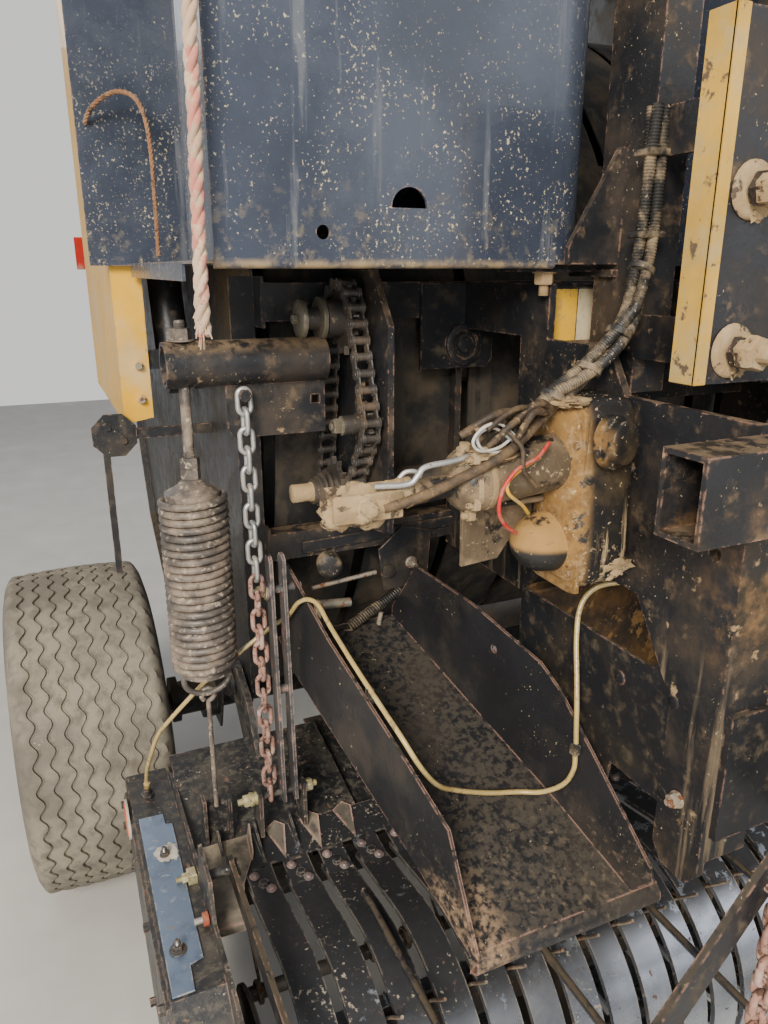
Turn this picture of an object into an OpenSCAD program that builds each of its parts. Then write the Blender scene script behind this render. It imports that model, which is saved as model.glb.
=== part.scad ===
// Pulled round baler: chassis with chamber, tined pickup, rear gate, twine boxes and drawbar.
// Millimetres. +X is the machine's left-hand side, +Y rearward, +Z up, ground at z = 0.

/* [Chamber] */
// inner face of each side wall from the centre plane
wall_x = 600; // [560:5:640]
// side wall thickness
wall_t = 6; // [4:1:10]
// chamber centre, rearward
cham_y = 1280; // [1200:10:1360]
// chamber centre height
cham_z = 1270; // [1200:10:1340]
// chamber radius
cham_r = 770; // [700:10:800]
// number of belts side by side
belts = 6; // [4:1:8]
// width of one belt
belt_w = 170; // [120:5:180]

/* [Gate] */
// gate hinge, rearward
gate_y = 970; // [940:5:1000]
// gate hinge height
gate_z = 2300; // [2250:5:2340]
// hinge pin diameter
gate_pin = 40; // [30:2:50]

/* [Wheels] */
// axle line, rearward
axle_y = 1040; // [1000:5:1100]
// tyre outer radius, also the axle height
tyre_r = 394; // [380:1:410]
// tyre width
tyre_w = 330; // [300:5:350]
// wheel centre plane from the centre plane
tyre_x = 920; // [900:5:940]
// rim radius
rim_r = 190; // [180:1:200]

/* [Pickup] */
// reel axis, rearward
reel_y = 0; // [-20:5:40]
// reel axis height
reel_z = 315; // [300:5:340]
// outer radius of the stripper bands
band_r = 215; // [200:5:230]
// spacing of the bands
band_p = 66; // [60:1:70]
// width of a band
band_w = 50; // [44:1:52]
// number of bands
band_n = 22; // [18:2:24]
// tine tip radius
tine_r = 272; // [250:1:280]
// tine bars on the reel
tine_bars = 4; // [4:1:5]
// outer face of the pickup end plates
end_x = 796; // [780:2:810]
// pickup pivot, rearward
pick_y = 640; // [620:5:660]
// pickup pivot height
pick_z = 640; // [620:5:660]

/* [Twine box] */
// front plane of the box cover
box_y = 90; // [60:5:120]
// underside of the box
box_z = 1507; // [1480:1:1540]
// top of the box
box_top = 2230; // [2100:10:2300]
// inner and outer side of the cover from the centre plane
box_x0 = 247; // [230:1:260]
box_x1 = 731; // [700:1:745]

/* [Drawbar] */
// hitch pin centre, forward is negative
hitch_y = -2090; // [-2100:5:-1950]
// drawbar underside height
bar_z = 440; // [400:5:480]

/* [Hidden] */
$fn = 48;
hole = 0.1;
wall_o = wall_x + wall_t;
tyre_z = tyre_r;
shield_z = gate_z - 24;
bar_y = hitch_y + 110;
belt_step = (2 * wall_x - 60) / belts;

// helpers
module yz(x0, x1) { translate([x0, 0, 0]) rotate([90, 0, 90]) linear_extrude(x1 - x0) children(); }
module xz(y0, y1) { translate([0, y1, 0]) rotate([90, 0, 0]) linear_extrude(y1 - y0) children(); }
module xy(z0, z1) { translate([0, 0, z0]) linear_extrude(z1 - z0) children(); }
module box(a, b) { translate(a) cube(b - a); }
module rx(x0, x1, y, z, d) { translate([x0, y, z]) rotate([0, 90, 0]) cylinder(d = d, h = x1 - x0); }
module ry(y0, y1, x, z, d) { translate([x, y0, z]) rotate([-90, 0, 0]) cylinder(d = d, h = y1 - y0); }
module rz(z0, z1, x, y, d) { translate([x, y, z0]) cylinder(d = d, h = z1 - z0); }
module rod(a, b, d) {
  v = b - a;
  n = norm(v);
  translate(a) rotate([0, acos(v[2] / n), atan2(v[1], v[0])]) cylinder(d = d, h = n);
}
module bent(p, d) {
  for (i = [0 : len(p) - 2]) rod(p[i], p[i + 1], d);
  for (i = [1 : len(p) - 2]) translate(p[i]) sphere(d = d);
}
module tube_x(x0, x1, y, z, d, t) {
  difference() {
    rx(x0, x1, y, z, d);
    rx(x0 - 1, x1 + 1, y, z, d - 2 * t);
  }
}
module both() {
  children();
  mirror([1, 0, 0]) children();
}
module hexb(d, h) { cylinder(d = d, h = h, $fn = 6); }
// bolt head standing off a face that looks along -Y or sideways
module bolt_y(x, y, z, d) { translate([x, y, z]) rotate([90, 0, 0]) hexb(d, d * 0.6); }
module bolt_x(x, y, z, d, s) { translate([x, y, z]) rotate([0, 90 * s, 0]) hexb(d, d * 0.6); }

// tube swept along points, for the cords
function vn(v) = v / norm(v);
function tng(p, i) = vn(p[min(i + 1, len(p) - 1)] - p[max(i - 1, 0)]);
function side(t) = vn(cross(t, abs(t[1]) < 0.9 ? [0, 1, 0] : [1, 0, 0]));
function carried(p, i) = i == 0 ? side(tng(p, 0))
  : let (u = carried(p, i - 1), t = tng(p, i)) vn(u - (u * t) * t);
module cord(p, d, n) {
  m = len(p);
  pts = [for (i = [0 : m - 1]) let (t = tng(p, i), u = carried(p, i), v = cross(t, u))
    for (k = [0 : n - 1]) p[i] + d / 2 * (cos(360 * k / n) * u + sin(360 * k / n) * v)];
  sides = [for (i = [0 : m - 2]) for (k = [0 : n - 1])
    [(i + 1) * n + k, (i + 1) * n + (k + 1) % n, i * n + (k + 1) % n, i * n + k]];
  polyhedron(pts, concat([[for (k = [0 : n - 1]) k]], [[for (k = [n - 1 : -1 : 0]) (m - 1) * n + k]],
    sides), convexity = 6);
}

// chassis: centre frame of plates, posts and cross tubes ahead of the chamber
module side_plate() {
  difference() {
    polygon([[-280, 740], [-262, 716], [-218, 716], [-200, 740], [-200, 960], [-120, 1080],
      [60, 1080], [150, 980], [420, 980], [420, 1480], [120, 1480], [120, 1400], [-20, 1400],
      [-60, 1340], [-280, 1340]]);
    translate([-240, 1179]) circle(d = 18);
    translate([-240, 800]) circle(d = 14);
    translate([40, 1240]) circle(d = 90);
    polygon([[190, 1100], [396, 1100], [396, 1400], [190, 1400]]);
  }
}
module main_frame() {
  color([0.1, 0.1, 0.11]) {
    both() {
      yz(219, 231) side_plate();
      // leg flange facing forward, rounded at its foot
      box([150, -280, 760], [219, -270, 1340]);
      // uprights
      difference() {
        box([100, 10, 1330], [160, 110, 2240]);
        box([106, 16, 1329], [154, 104, 2241]);
      }
      box([160, 20, 1330], [219, 110, 1338]);
      // gussets between upright and twine box
      xz(60, 70) polygon([[160, 1507], [247, 1507], [247, 1530], [170, 1660], [160, 1660]]);
      box([160, 104, 1497], [300, 160, 1507]);
      box([160, 60, 1490], [170, 160, 1500]);
      // float arm with its drilled plate and bracket back to the wall
      difference() {
        tube_x(521, 769, 310, 1366, 68, 6);
        rz(1300, 1440, 741, 310, 17.6);
      }
      difference() {
        xz(306, 314) polygon([[521, 1250], [668, 1250], [680, 1262], [680, 1336], [521, 1336]]);
        box([530, 300, 1296], [544, 320, 1310]);
      }
      box([600, 314, 1262], [640, 420, 1330]);
      // bolt that the lift chain hangs on
      ry(284, 306, 657, 1319, 11);
      translate([657, 276, 1319]) rotate([-90, 0, 0]) hexb(20, 8);
      // plate that carries the drive bearings
      difference() {
        union() {
          yz(452, 462) polygon([[190, 1100], [420, 1060], [420, 1500], [250, 1500], [190, 1420]]);
          rx(446, 456, 358, 1134, 90);
        }
        rx(440, 470, 358, 1134, 52);
      }
    }
    // cross tube, open at both ends
    difference() {
      box([-369, -340, 1236], [369, -280, 1330]);
      box([-370, -334, 1242], [370, -286, 1324]);
    }
    // beams tying the plates to the chamber walls
    box([-600, 377, 1420], [600, 424, 1480]);
    box([-600, 400, 1000], [600, 440, 1050]);
    both() box([594, 377, 1410], [600, 440, 1490]);
    both() box([594, 400, 990], [600, 440, 1060]);
    // front panel below the twine boxes
    box([-219, 150, 1290], [219, 156, 1480]);
    box([-160, 10, 2240], [160, 110, 2250]);
    // step
    difference() {
      box([-219, 20, 1390], [219, 150, 1394]);
      for (i = [-9 : 9]) for (j = [0 : 3])
        translate([i * 22, 40 + j * 28, 1380]) cylinder(d = 12, h = 20);
    }
    // front shield plate with two large bolts each side
    difference() {
      box([-241, -186, 1371], [241, -180, 1760]);
      for (s = [-1, 1]) translate([s * 60, -190, 1500]) rotate([-90, 0, 0]) cylinder(d = 60, h = 20);
    }
    both() {
      for (z = [1409, 1584]) {
        ry(-214, -186, 190, z, 24);
        translate([190, -214, z]) rotate([-90, 0, 0]) hexb(40, 16);
        ry(-190, -186, 190, z, 56);
      }
      box([150, -180, 1380], [160, 20, 1440]);
      box([150, -180, 1640], [160, 20, 1700]);
    }
    box([-219, -280, 800], [219, -270, 820]);
  }
}

module wall_shape() {
  polygon([[420, 760], [560, 700], [590, 600], [700, 540], [900, 470], [960, 330], [1120, 330],
    [1172, 470], [gate_y + 26, gate_z - 30], [gate_y + 30, gate_z + 20], [gate_y + 15, gate_z + 35],
    [gate_y - 70, gate_z + 35], [640, 2270], [500, 2080],
    [420, 1500]]);
}
module body_walls() {
  color([0.1, 0.1, 0.11]) {
    both() {
      difference() {
        yz(wall_x, wall_o) wall_shape();
        rx(590, 620, axle_y, axle_r_z(), 90);
      }
      // gate hinge pin and collar
      rx(wall_o, 640, gate_y, gate_z, gate_pin);
      rx(632, 640, gate_y, gate_z, 56);
      // pickup pivot pin and collar
      rx(wall_o, 640, pick_y, pick_z, 40);
      rx(632, 640, pick_y, pick_z, 56);
      // flange along the front of the wall
      box([wall_o, 420, 770], [640, 428, 1240]);
      box([wall_o, 420, 1345], [640, 428, 1490]);
      // lower lug of the gate cylinder
      rx(wall_o, 690, 890, 1280, 36);
      rx(wall_o, 624, 890, 1280, 70);
      // hinge strip of the side shield
      ry(834, 922, 708, shield_z, 12);
      for (y = [832, 916]) box([wall_o, y, shield_z - 76], [714, y + 8, shield_z + 6]);
      // stop for the shield's lower edge
      box([wall_o, 830, 1300], [764, 838, 1340]);
    }
    box([-600, 560, 2110], [600, 620, 2160]);
    box([-600, gate_y - 110, gate_z - 30], [600, gate_y - 50, gate_z + 10]);
    
  }
}
function axle_r_z() = tyre_r;

module axle() {
  color([0.12, 0.12, 0.13]) {
    difference() {
      rx(-720, 720, axle_y, tyre_z, 89.8);
      rx(-690, 690, axle_y, tyre_z, 74);
    }
    both() {
      rx(720, 1000, axle_y, tyre_z, 50);
      rx(700, 720, axle_y, tyre_z, 120);
      // saddle against the wall
      rx(wall_o, 640, axle_y, tyre_z, 130);
    }
  }
}

module tongue() {
  color([0.1, 0.1, 0.11]) {
    difference() {
      yz(-75, 75) polygon([[-280, 800], [-280, 960], [-420, 905], [-900, 640], [bar_y, 560],
        [bar_y, bar_z], [-880, bar_z + 40], [-460, 800]]);
      yz(-67, 67) polygon([[-290, 810], [-290, 946], [-424, 893], [-903, 631], [bar_y + 8, 552],
        [bar_y + 8, bar_z + 8], [-884, bar_z + 48], [-464, 810]]);
    }
    // plates joining the beam to the frame legs
    both() {
      yz(75, 85) polygon([[-280, 800], [-280, 980], [-330, 960], [-520, 850], [-520, 800]]);
      box([75, -290, 800], [219, -280, 980]);
    }
    // bent flat stay ahead of the pickup
    xz(-452, -444) polygon([[-493, 750], [-309, 984], [-296, 986], [-80, 872], [-80, 834],
      [-298, 948], [-467, 730]]);
    // hitch clevis
    difference() {
      union() {
        box([-45, bar_y - 20, bar_z + 10], [45, bar_y + 8, bar_z + 112]);
        xy(bar_z + 18, bar_z + 38) { translate([0, hitch_y]) circle(d = 100);
          translate([-50, hitch_y]) square([100, 90]); }
        xy(bar_z + 84, bar_z + 104) { translate([0, hitch_y]) circle(d = 100);
          translate([-50, hitch_y]) square([100, 90]); }
      }
      rz(bar_z, bar_z + 120, 0, hitch_y, 32);
    }
    // jack bracket and driveline support
    box([75, -1640, 470], [110, -1540, 560]);
    box([-40, -1330, 590], [40, -1290, 700]);
    difference() {
      box([-70, -1326, 700], [70, -1294, 760]);
      rod([0, -1252, 797.3], [0, -1368, 766.7], 80.4);
    }
  }
}

// chamber rollers: angle about the chamber centre, radius of the roller line
roll_a = [222, 200, 176, 150, 130, 115];
module front_rollers() {
  color([0.35, 0.35, 0.37]) {
    for (a = roll_a) {
      y = cham_y + 806 * cos(a);
      z = cham_z + 806 * sin(a);
      rx(-570, 570, y, z, 74);
      rx(-600, 600, y, z, 34);
    }
    for (r = [[780, 640, 160], [960, 548, 120], [1105, 505, 100]]) {
      rx(-590, 590, r[0], r[1], r[2]);
      rx(-600, 600, r[0], r[1], 50);
    }
  }
}

// one belt loop on the arc between two end rollers, as a plan in y and z
function belt_path(a0, a1, g, n) = concat(
  [for (i = [0 : n]) (848 - g) * pol(a0 + (a1 - a0) * i / n)],
  [for (i = [1 : 11]) 806 * pol(a1) + (42 - g) * pol(a1 + 15 * i)],
  [for (i = [n : -1 : 0]) (764 + g) * pol(a0 + (a1 - a0) * i / n)],
  [for (i = [1 : 11]) 806 * pol(a0) + (42 - g) * pol(a0 + 180 + 15 * i)]);
module belt_loop(a0, a1) {
  n = round((a1 - a0) / 3.5);
  translate([cham_y, cham_z]) difference() {
    polygon(belt_path(a0, a1, 0, n));
    polygon(belt_path(a0, a1, 4, n));
  }
}
module belt_set(a0, a1) {
  for (i = [0 : belts - 1]) {
    x = -570 + i * (1140 - belt_w) / (belts - 1);
    yz(x, x + belt_w) belt_loop(a0, a1);
  }
}
module front_belts() { color([0.13, 0.12, 0.11]) belt_set(115, 222); }

// gearbox on the centre line and the cross shaft to the drive side
module gearbox() {
  color([0.16, 0.16, 0.17]) {
    box([-110, 200, 1050], [110, 420, 1220]);
    ry(120, 200, 0, 1134, 150);
    rx(-150, 150, 330, 1134, 120);
    box([-219, 240, 1050], [219, 400, 1062]);
    ry(40, 120, 0, 1134, 35);
    rx(-452, -150, 358, 1134, 51.8);
    rx(-566, -452, 358, 1134, 30);
    rx(-530, -504, 358, 1134, 44);
  }
}

// roller chain drive on the right: three toothed wheels and one loop of chain
chx = -486;
sp1 = [310, 1427];
sp2 = [232.4, 1271];
sp3 = [358, 1134];
module toothed(n, a) {
  r = n * 25.4 / 2 / PI;
  linear_extrude(8, center = true) rotate(a) union() {
    circle(r = r - 8);
    for (i = [0 : n - 1]) rotate(360 * (i + 0.5) / n)
      polygon([[r - 10, -4.5], [r - 4, -3.4], [r + 5, -1.4], [r + 5, 1.4], [r - 4, 3.4], [r - 10, 4.5]]);
  }
}
// phase of the first chain roller that lies on wheel j
function arc_at(j) = sum_to(2 * ((j + 2) % 3) + 1);
function phase(j) = let (k = ceil(arc_at(j) / 25.4)) nrm((j + 2) % 3)
  + (k * total / links - arc_at(j)) / q[j] * 180 / PI;
module sprocket(j, n) {
  translate([chx, cc[j][0], cc[j][1]]) rotate([90, 0, 90]) toothed(n, phase(j));
}
module drive_sprockets() {
  color([0.3, 0.29, 0.28]) {
    sprocket(0, 13);
    rx(-518, -462, sp1[0], sp1[1], 56);
    rx(-552, -518, sp1[0], sp1[1], 34);
    sprocket(1, 8);
    rx(-520, -462, sp2[0], sp2[1], 30);
    difference() {
      union() {
        sprocket(2, 13);
        rx(-500, -472, sp3[0], sp3[1], 56);
      }
      rx(-520, -440, sp3[0], sp3[1], 30.4);
    }
  }
}

// closed chain path round three wheels, pitch radii q
q = [13 * 25.4 / 2 / PI, 8 * 25.4 / 2 / PI, 13 * 25.4 / 2 / PI];
cc = [sp1, sp2, sp3];
function ang(v) = atan2(v[1], v[0]);
function nrm(i) = let (j = (i + 1) % 3, d = cc[j] - cc[i]) ang(d) - acos((q[i] - q[j]) / norm(d));
function pol(a) = [cos(a), sin(a)];
function turn(a) = a < 0 ? turn(a + 360) : a >= 360 ? turn(a - 360) : a;
function seg_len(i) = let (j = (i + 1) % 3)
  norm(cc[j] + q[j] * pol(nrm(i)) - cc[i] - q[i] * pol(nrm(i)));
function arc_deg(j) = turn(nrm(j) - nrm((j + 2) % 3));
function arc_len(j) = arc_deg(j) * PI / 180 * q[j];
lens = [for (i = [0 : 2]) each [seg_len(i), arc_len((i + 1) % 3)]];
function sum_to(k) = k <= 0 ? 0 : lens[k - 1] + sum_to(k - 1);
total = sum_to(6);
function at_s(s, k) = s > lens[k] + 0.001 && k < 5 ? at_s(s - lens[k], k + 1)
  : let (i = floor(k / 2), j = (i + 1) % 3, n = nrm(i))
    k % 2 == 0 ? cc[i] + q[i] * pol(n) + s * vn(cc[j] + q[j] * pol(n) - cc[i] - q[i] * pol(n))
    : cc[j] + q[j] * pol(n + s / q[j] * 180 / PI);
links = 2 * round(total / 25.4 / 2);
module link_plate(a, b, x, t, w) {
  d = b - a;
  translate([x, a[0], a[1]]) rotate([90, 0, 90]) rotate(ang(d)) linear_extrude(t) union() {
    circle(d = w);
    translate([norm(d), 0]) circle(d = w);
    translate([0, -w * 0.34]) square([norm(d), w * 0.68]);
  }
}
module drive_chain() {
  color([0.34, 0.31, 0.28]) {
    for (k = [0 : links - 1]) {
      a = at_s(k * total / links, 0);
      b = at_s(((k + 1) % links) * total / links, 0);
      o = k % 2 == 0 ? 9 : 12;
      link_plate(a, b, chx - o - 2.6, 2.6, 19);
      link_plate(a, b, chx + o, 2.6, 19);
      rx(chx - 16, chx + 16, a[0], a[1], 8);
      rx(chx - 9.2, chx + 9.2, a[0], a[1], 13);
    }
  }
}

// driveline from the gearbox to the hitch, lying on its support
module pto_shaft() {
  a = [0, 34, 1134];
  b = [0, -60, 1112];
  c = [0, -1310, 782];
  e = [0, -1760, 663];
  u = vn(c - b);
  color([0.75, 0.62, 0.08]) {
    rod(b + 60 * u, b + 760 * u, 96);
    rod(b + 740 * u, b + 1480 * u, 80);
    rod(b + 150 * u, b + 230 * u, 124);
    rod(b + 1440 * u, b + 1530 * u, 124);
  }
  color([0.3, 0.3, 0.3]) {
    ry(-30, 40, 0, 1134, 70);
    rod(a + [0, -40, 0], b + 40 * u, 46);
    rod(b + 1520 * u, b + 1600 * u, 46);
    difference() {
      rod(b + 1590 * u, b + 1700 * u, 66);
      rod(b + 1620 * u, b + 1720 * u, 36);
    }
  }
}

// windrow trough over the pickup
chute_l = 8.8;
chute_r = 11.1;
module chute() {
  color([0.13, 0.13, 0.14]) {
    // floor: flat in front, rising behind
    intersection() {
      yz(-660, -150) polygon([[-186, 636], [-40, 696], [400, 847], [400, 851], [-40, 700],
        [-186, 640]]);
      xy(600, 1000) polygon([[-506, -186], [-196, -186], [-270, -40], [-357, 400], [-590, 400],
        [-590, 361]]);
    }
    // rolled front lip
    difference() {
      rx(-506, -197, -180, 622, 36);
      rx(-507, -196, -180, 622, 29);
      box([-507, -180, 600], [-195, -150, 660]);
    }
    difference() {
      translate([-506, -184, 0]) rotate([0, 0, chute_l]) yz(-4, 1) polygon([[0, 606], [-14, 640],
        [14, 700], [57, 796], [150, 839], [377, 936], [525, 1020], [530, 990], [552, 930],
        [552, 834], [146, 694], [0, 636]]);
      rx(-600, -560, 308, 986, 14.6);
    }
    translate([-232, -238, 0]) rotate([0, 0, chute_r]) yz(-1, 4) difference() {
      polygon([[60, 634], [22, 680], [29, 700], [129, 805], [215, 892], [258, 920], [420, 960],
        [580, 978], [600, 940], [650, 870], [650, 846], [204, 694], [64, 640]]);
      translate([360, 900]) circle(d = 12);
    }
    // foot on the side deck
    yz(-592, -587) polygon([[330, 523.25], [361, 528.7], [361, 880], [330, 880]]);
  }
}

// twine box: curved cover, floor, inner walls and partition, open at its side
module twine_box() {
  color([0.09, 0.11, 0.16]) {
    difference() {
      union() {
        box([-box_x1, box_y, box_z], [-box_x0, box_y + 4, box_top]);
        box([-box_x1, box_y, box_z], [-box_x1 + 4, box_y + 140, box_top]);
      }
      translate([-477, box_y + 10, 1575]) rotate([90, 0, 0]) xz_half(25);
      ry(box_y - 1, box_y + 10, -595, 1544, 17);
    }
    // rounded inner corner
    translate([-box_x0, box_y + 60, box_z]) intersection() {
      difference() {
        cylinder(r = 60, h = box_top - box_z);
        translate([0, 0, -1]) cylinder(r = 56, h = box_top - box_z + 2);
      }
      translate([0, -61, 0]) cube([61, 61, box_top - box_z]);
    }
    box([-box_x0 + 56, box_y + 60, box_z], [-box_x0 + 60, 416, box_top]);
    // rolled lower edge
    rx(-box_x1, -box_x0, box_y + 6, box_z, 12);
    // floor and rear wall
    box([-745, box_y + 4, box_z], [-box_x0 + 60, 416, box_z + 4]);
    box([-745, box_y + 140, box_z - 22], [-741, 800, box_z + 4]);
    box([-745, 416, box_z], [-612, 800, box_z + 4]);
    box([-616, 412, box_z], [-box_x0 + 60, 416, box_top]);
    box([-616, 412, box_z], [-612, 800, box_top]);
    box([-820, 796, box_z], [-612, 800, box_top]);
    // top
    box([-745, box_y, box_top], [-box_x0 + 60, 416, box_top + 4]);
    box([-745, 416, box_top], [-612, 800, box_top + 4]);
    // partition with a twine hole
    difference() {
      box([-700, 300, box_z + 4], [-697, 412, 2000]);
      rx(-710, -690, 380, 1960, 24);
    }
  }
}
module xz_half(r) { intersection() { cylinder(r = r, h = 20); translate([-r, 0, -1]) cube([2 * r, r, 30]); } }
module twine_box_right() { twine_box(); }
module twine_box_left() { mirror([1, 0, 0]) twine_box(); }

// float spring: close coils hung on a rod from the arm, loop and strap below
module float_spring() {
  color([0.25, 0.22, 0.2]) {
    rz(1170, 1420, -741, 310, 17);
    translate([-741, 310, 1400]) hexb(30, 14);
    rz(1146, 1180, -741, 310, 92);
    for (i = [0 : 22]) translate([-741, 310, 874 + i * 12.4])
      rotate_extrude() translate([48, 0]) circle(d = 13, $fn = 20);
    rz(860, 878, -741, 310, 92);
    // end loop
    translate([-741, 310, 835]) rotate([90, 0, 0]) rotate_extrude() translate([26, 0]) circle(d = 11);
    // strap to the deck
    box([-756, 306, 590], [-726, 312, 812]);
  }
}
module float_spring_right() { float_spring(); }
module float_spring_left() { mirror([1, 0, 0]) float_spring(); }

// welded chain of stadium links, each turned a quarter from the last
module chain_link(l, w, d) {
  rod([w / 2, 0, w / 2], [w / 2, 0, l - w / 2], d);
  rod([-w / 2, 0, w / 2], [-w / 2, 0, l - w / 2], d);
  for (z = [w / 2, l - w / 2]) translate([0, 0, z]) rotate([90, 0, 0])
    rotate_extrude(angle = 180, start = z > w ? 0 : 180) translate([w / 2, 0]) circle(d = d, $fn = 16);
}
lc_n = 24;
module lift_chain() {
  color([0.6, 0.6, 0.62]) {
    for (i = [0 : lc_n - 1]) translate([-657 + 9 * i / lc_n, 288, 1328.8 - 39 - 30.4 * i])
      rotate([0, 0, 90 * (i % 2)]) chain_link(39, 20, 8);
  }
}
module lift_chain_right() { lift_chain(); }
module lift_chain_left() { mirror([1, 0, 0]) lift_chain(); }

// electric actuator with its motor, gear housing and bracket
module wrap_actuator() {
  color([0.2, 0.17, 0.13]) {
    a = [-585, -60, 1239];
    b = [-330, -60, 1262];
    rod(a, b, 40);
    rod([-470, -60, 1250], [-300, -60, 1266], 74);
    rod([-640, -60, 1234], [-570, -60, 1240], 26);
    // gear housing and motor
    box([-340, -110, 1110], [-240, -10, 1330]);
    rx(-420, -236, -60, 1150, 82);
    rx(-440, -420, -60, 1150, 60);
    // rod end clamp
    box([-660, -76, 1212], [-585, -44, 1262]);
    // mount
    box([-244, -120, 1100], [-231, 0, 1345]);
    xz(-20, -10) polygon([[-244, 1345], [-400, 1345], [-400, 1300], [-360, 1190], [-244, 1100]]);
  }
}
module wire_loom() {
  color([0.06, 0.06, 0.06]) {
    cord([[-172, -6, 1700], [-172, -6, 1620], [-172, -6, 1540], [-178, -8, 1490], [-190, -14, 1450],
      [-212, -26, 1430], [-240, -38, 1408], [-270, -46, 1386], [-300, -52, 1368], [-332, -57, 1352],
      [-358, -58, 1338], [-376, -59, 1316]], 22, 10);
    box([-184, -6, 1640], [-160, 12, 1652]);
    box([-184, -6, 1540], [-160, 12, 1552]);
  }
}

// clear oil line from the drive box fitting along the trough, held by clips
module oil_line() {
  color([0.75, 0.66, 0.4]) {
    cord([[-842, 485, 536.2], [-842, 485, 546], [-842, 476, 566], [-840, 456, 600], [-834, 432, 640], [-820, 402, 700],
      [-800, 378, 740], [-772, 356, 782], [-738, 342, 822], [-700, 336, 852], [-660, 334, 880],
      [-626, 333, 902], [-600, 330, 917], [-593, 316, 928], [-594, 292, 948], [-588, 272, 971],
      [-577, 252, 983], [-566, 234, 978], [-559, 205, 956], [-549, 140, 924], [-537, 60, 890],
      [-526, 0, 862], [-508, -26, 824], [-478, -22, 782], [-440, -9, 752], [-380, -6, 726],
      [-330, -14, 718], [-300, -36, 724], [-280, -60, 748], [-272, -72, 780], [-271.5, -72, 812]], 8, 8);
    box([-569.7, 236, 948], [-560, 246, 976]);
    box([-545, 76, 872], [-534, 90, 900]);
    box([-278, -78, 806], [-266.8, -66, 826]);
  }
}
// feed part of the line, from the trough up to the clip on the frame plate
module oil_feed() {
  color([0.75, 0.66, 0.4]) {
    cord([[-271.5, -72, 826.6], [-272, -70, 852], [-268, -62, 884], [-258, -44, 925], [-246, -22, 972],
      [-232, -8, 1014], [-212, -10, 1040], [-186, -26, 1052], [-150, -48, 1052], [-90, -90, 1040],
      [-40, -125, 1018], [0, -142, 1008], [50, -136, 1010], [110, -104, 1028], [160, -66, 1050],
      [192, -40, 1064], [207, -24, 1074]], 8, 8);
    box([200, -30, 1070], [219, -14, 1088]);
  }
}

// eight-sided bracket plate beside the shield, with a flat bar below
module lamp_bracket() {
  color([0.08, 0.08, 0.09]) {
    translate([-808, 806, 1171]) rotate([90, 0, 0]) linear_extrude(4) polygon(
      [for (k = [0 : 7]) 48 * [cos(22.5 + 45 * k), sin(22.5 + 45 * k)]]);
    box([-834, 806, 865], [-820, 810, 1190]);
    box([-834, 806, 1160], [-606, 814, 1182]);
    ry(794, 802, -822, 1190, 14);
    ry(794, 802, -792, 1160, 14);
  }
}

// pink rope on the cover's edge, and the tie that hangs from its hook
rope_a = [[-722, 89.7, 2218], [-722, 84, 2218], [-727, 73, 2213], [-736, 66, 2199], [-744, 62, 2178], [-747, 60, 2140],
  [-747, 60, 2000], [-746, 60, 1800], [-748, 60, 1740], [-750, 60, 1650], [-753, 60, 1550],
  [-756, 60, 1427]];
module hanging_rope() { color([0.75, 0.66, 0.55]) cord(rope_a, 17, 10); }
rope_b = [[-802, 795.7, 1758], [-802, 790, 1758], [-799, 779, 1767], [-790, 765, 1780], [-772, 750, 1794],
  [-748, 736, 1803], [-724, 722, 1796], [-710, 710, 1772], [-704, 703, 1735], [-702, 700, 1680],
  [-703, 700, 1600], [-704, 700, 1524]];
module tie_rope() { color([0.35, 0.2, 0.12]) cord(rope_b, 9, 8); }

// parking jack on the drawbar
jack_x = 150;
jack_y = -1590;
module jack_outer() {
  color([0.12, 0.12, 0.13]) {
    difference() {
      rz(330, 900, jack_x, jack_y, 70);
      rz(320, 860, jack_x, jack_y, 60.1);
    }
    rz(900, 930, jack_x, jack_y, 82);
    box([110, -1640, 480], [118, -1540, 560]);
    box([110, -1612, 500], [118, -1568, 545]);
    rod([jack_x, jack_y, 915], [jack_x + 120, jack_y, 915], 14);
    rod([jack_x + 120, jack_y, 915], [jack_x + 120, jack_y, 1010], 14);
    rz(950, 1010, jack_x + 120, jack_y, 28);
  }
}
module jack_inner() {
  color([0.5, 0.5, 0.52]) {
    rz(12, 560, jack_x, jack_y, 60);
    box([jack_x - 90, jack_y - 80, 0], [jack_x + 90, jack_y + 80, 12]);
  }
}

module safety_chain() {
  color([0.55, 0.4, 0.33]) {
    for (i = [0 : 12]) translate([-98, -1000 - 21.6 * i, 505]) rotate([90, 0, 0])
      rotate([0, 0, 90 * (i % 2)]) chain_link(30, 17, 8);
    rx(-110, -75, -1008, 505, 9);
    rx(-110, -75, -1281, 505, 9);
    // short length hung from the stay
    ry(-477, -452, -338, 915, 8.6);
    for (i = [0 : 9]) translate([-338, -466, 893.3 - 21.6 * i])
      rotate([0, 0, 90 * (i % 2)]) chain_link(30, 17, 8);
  }
}

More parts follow.
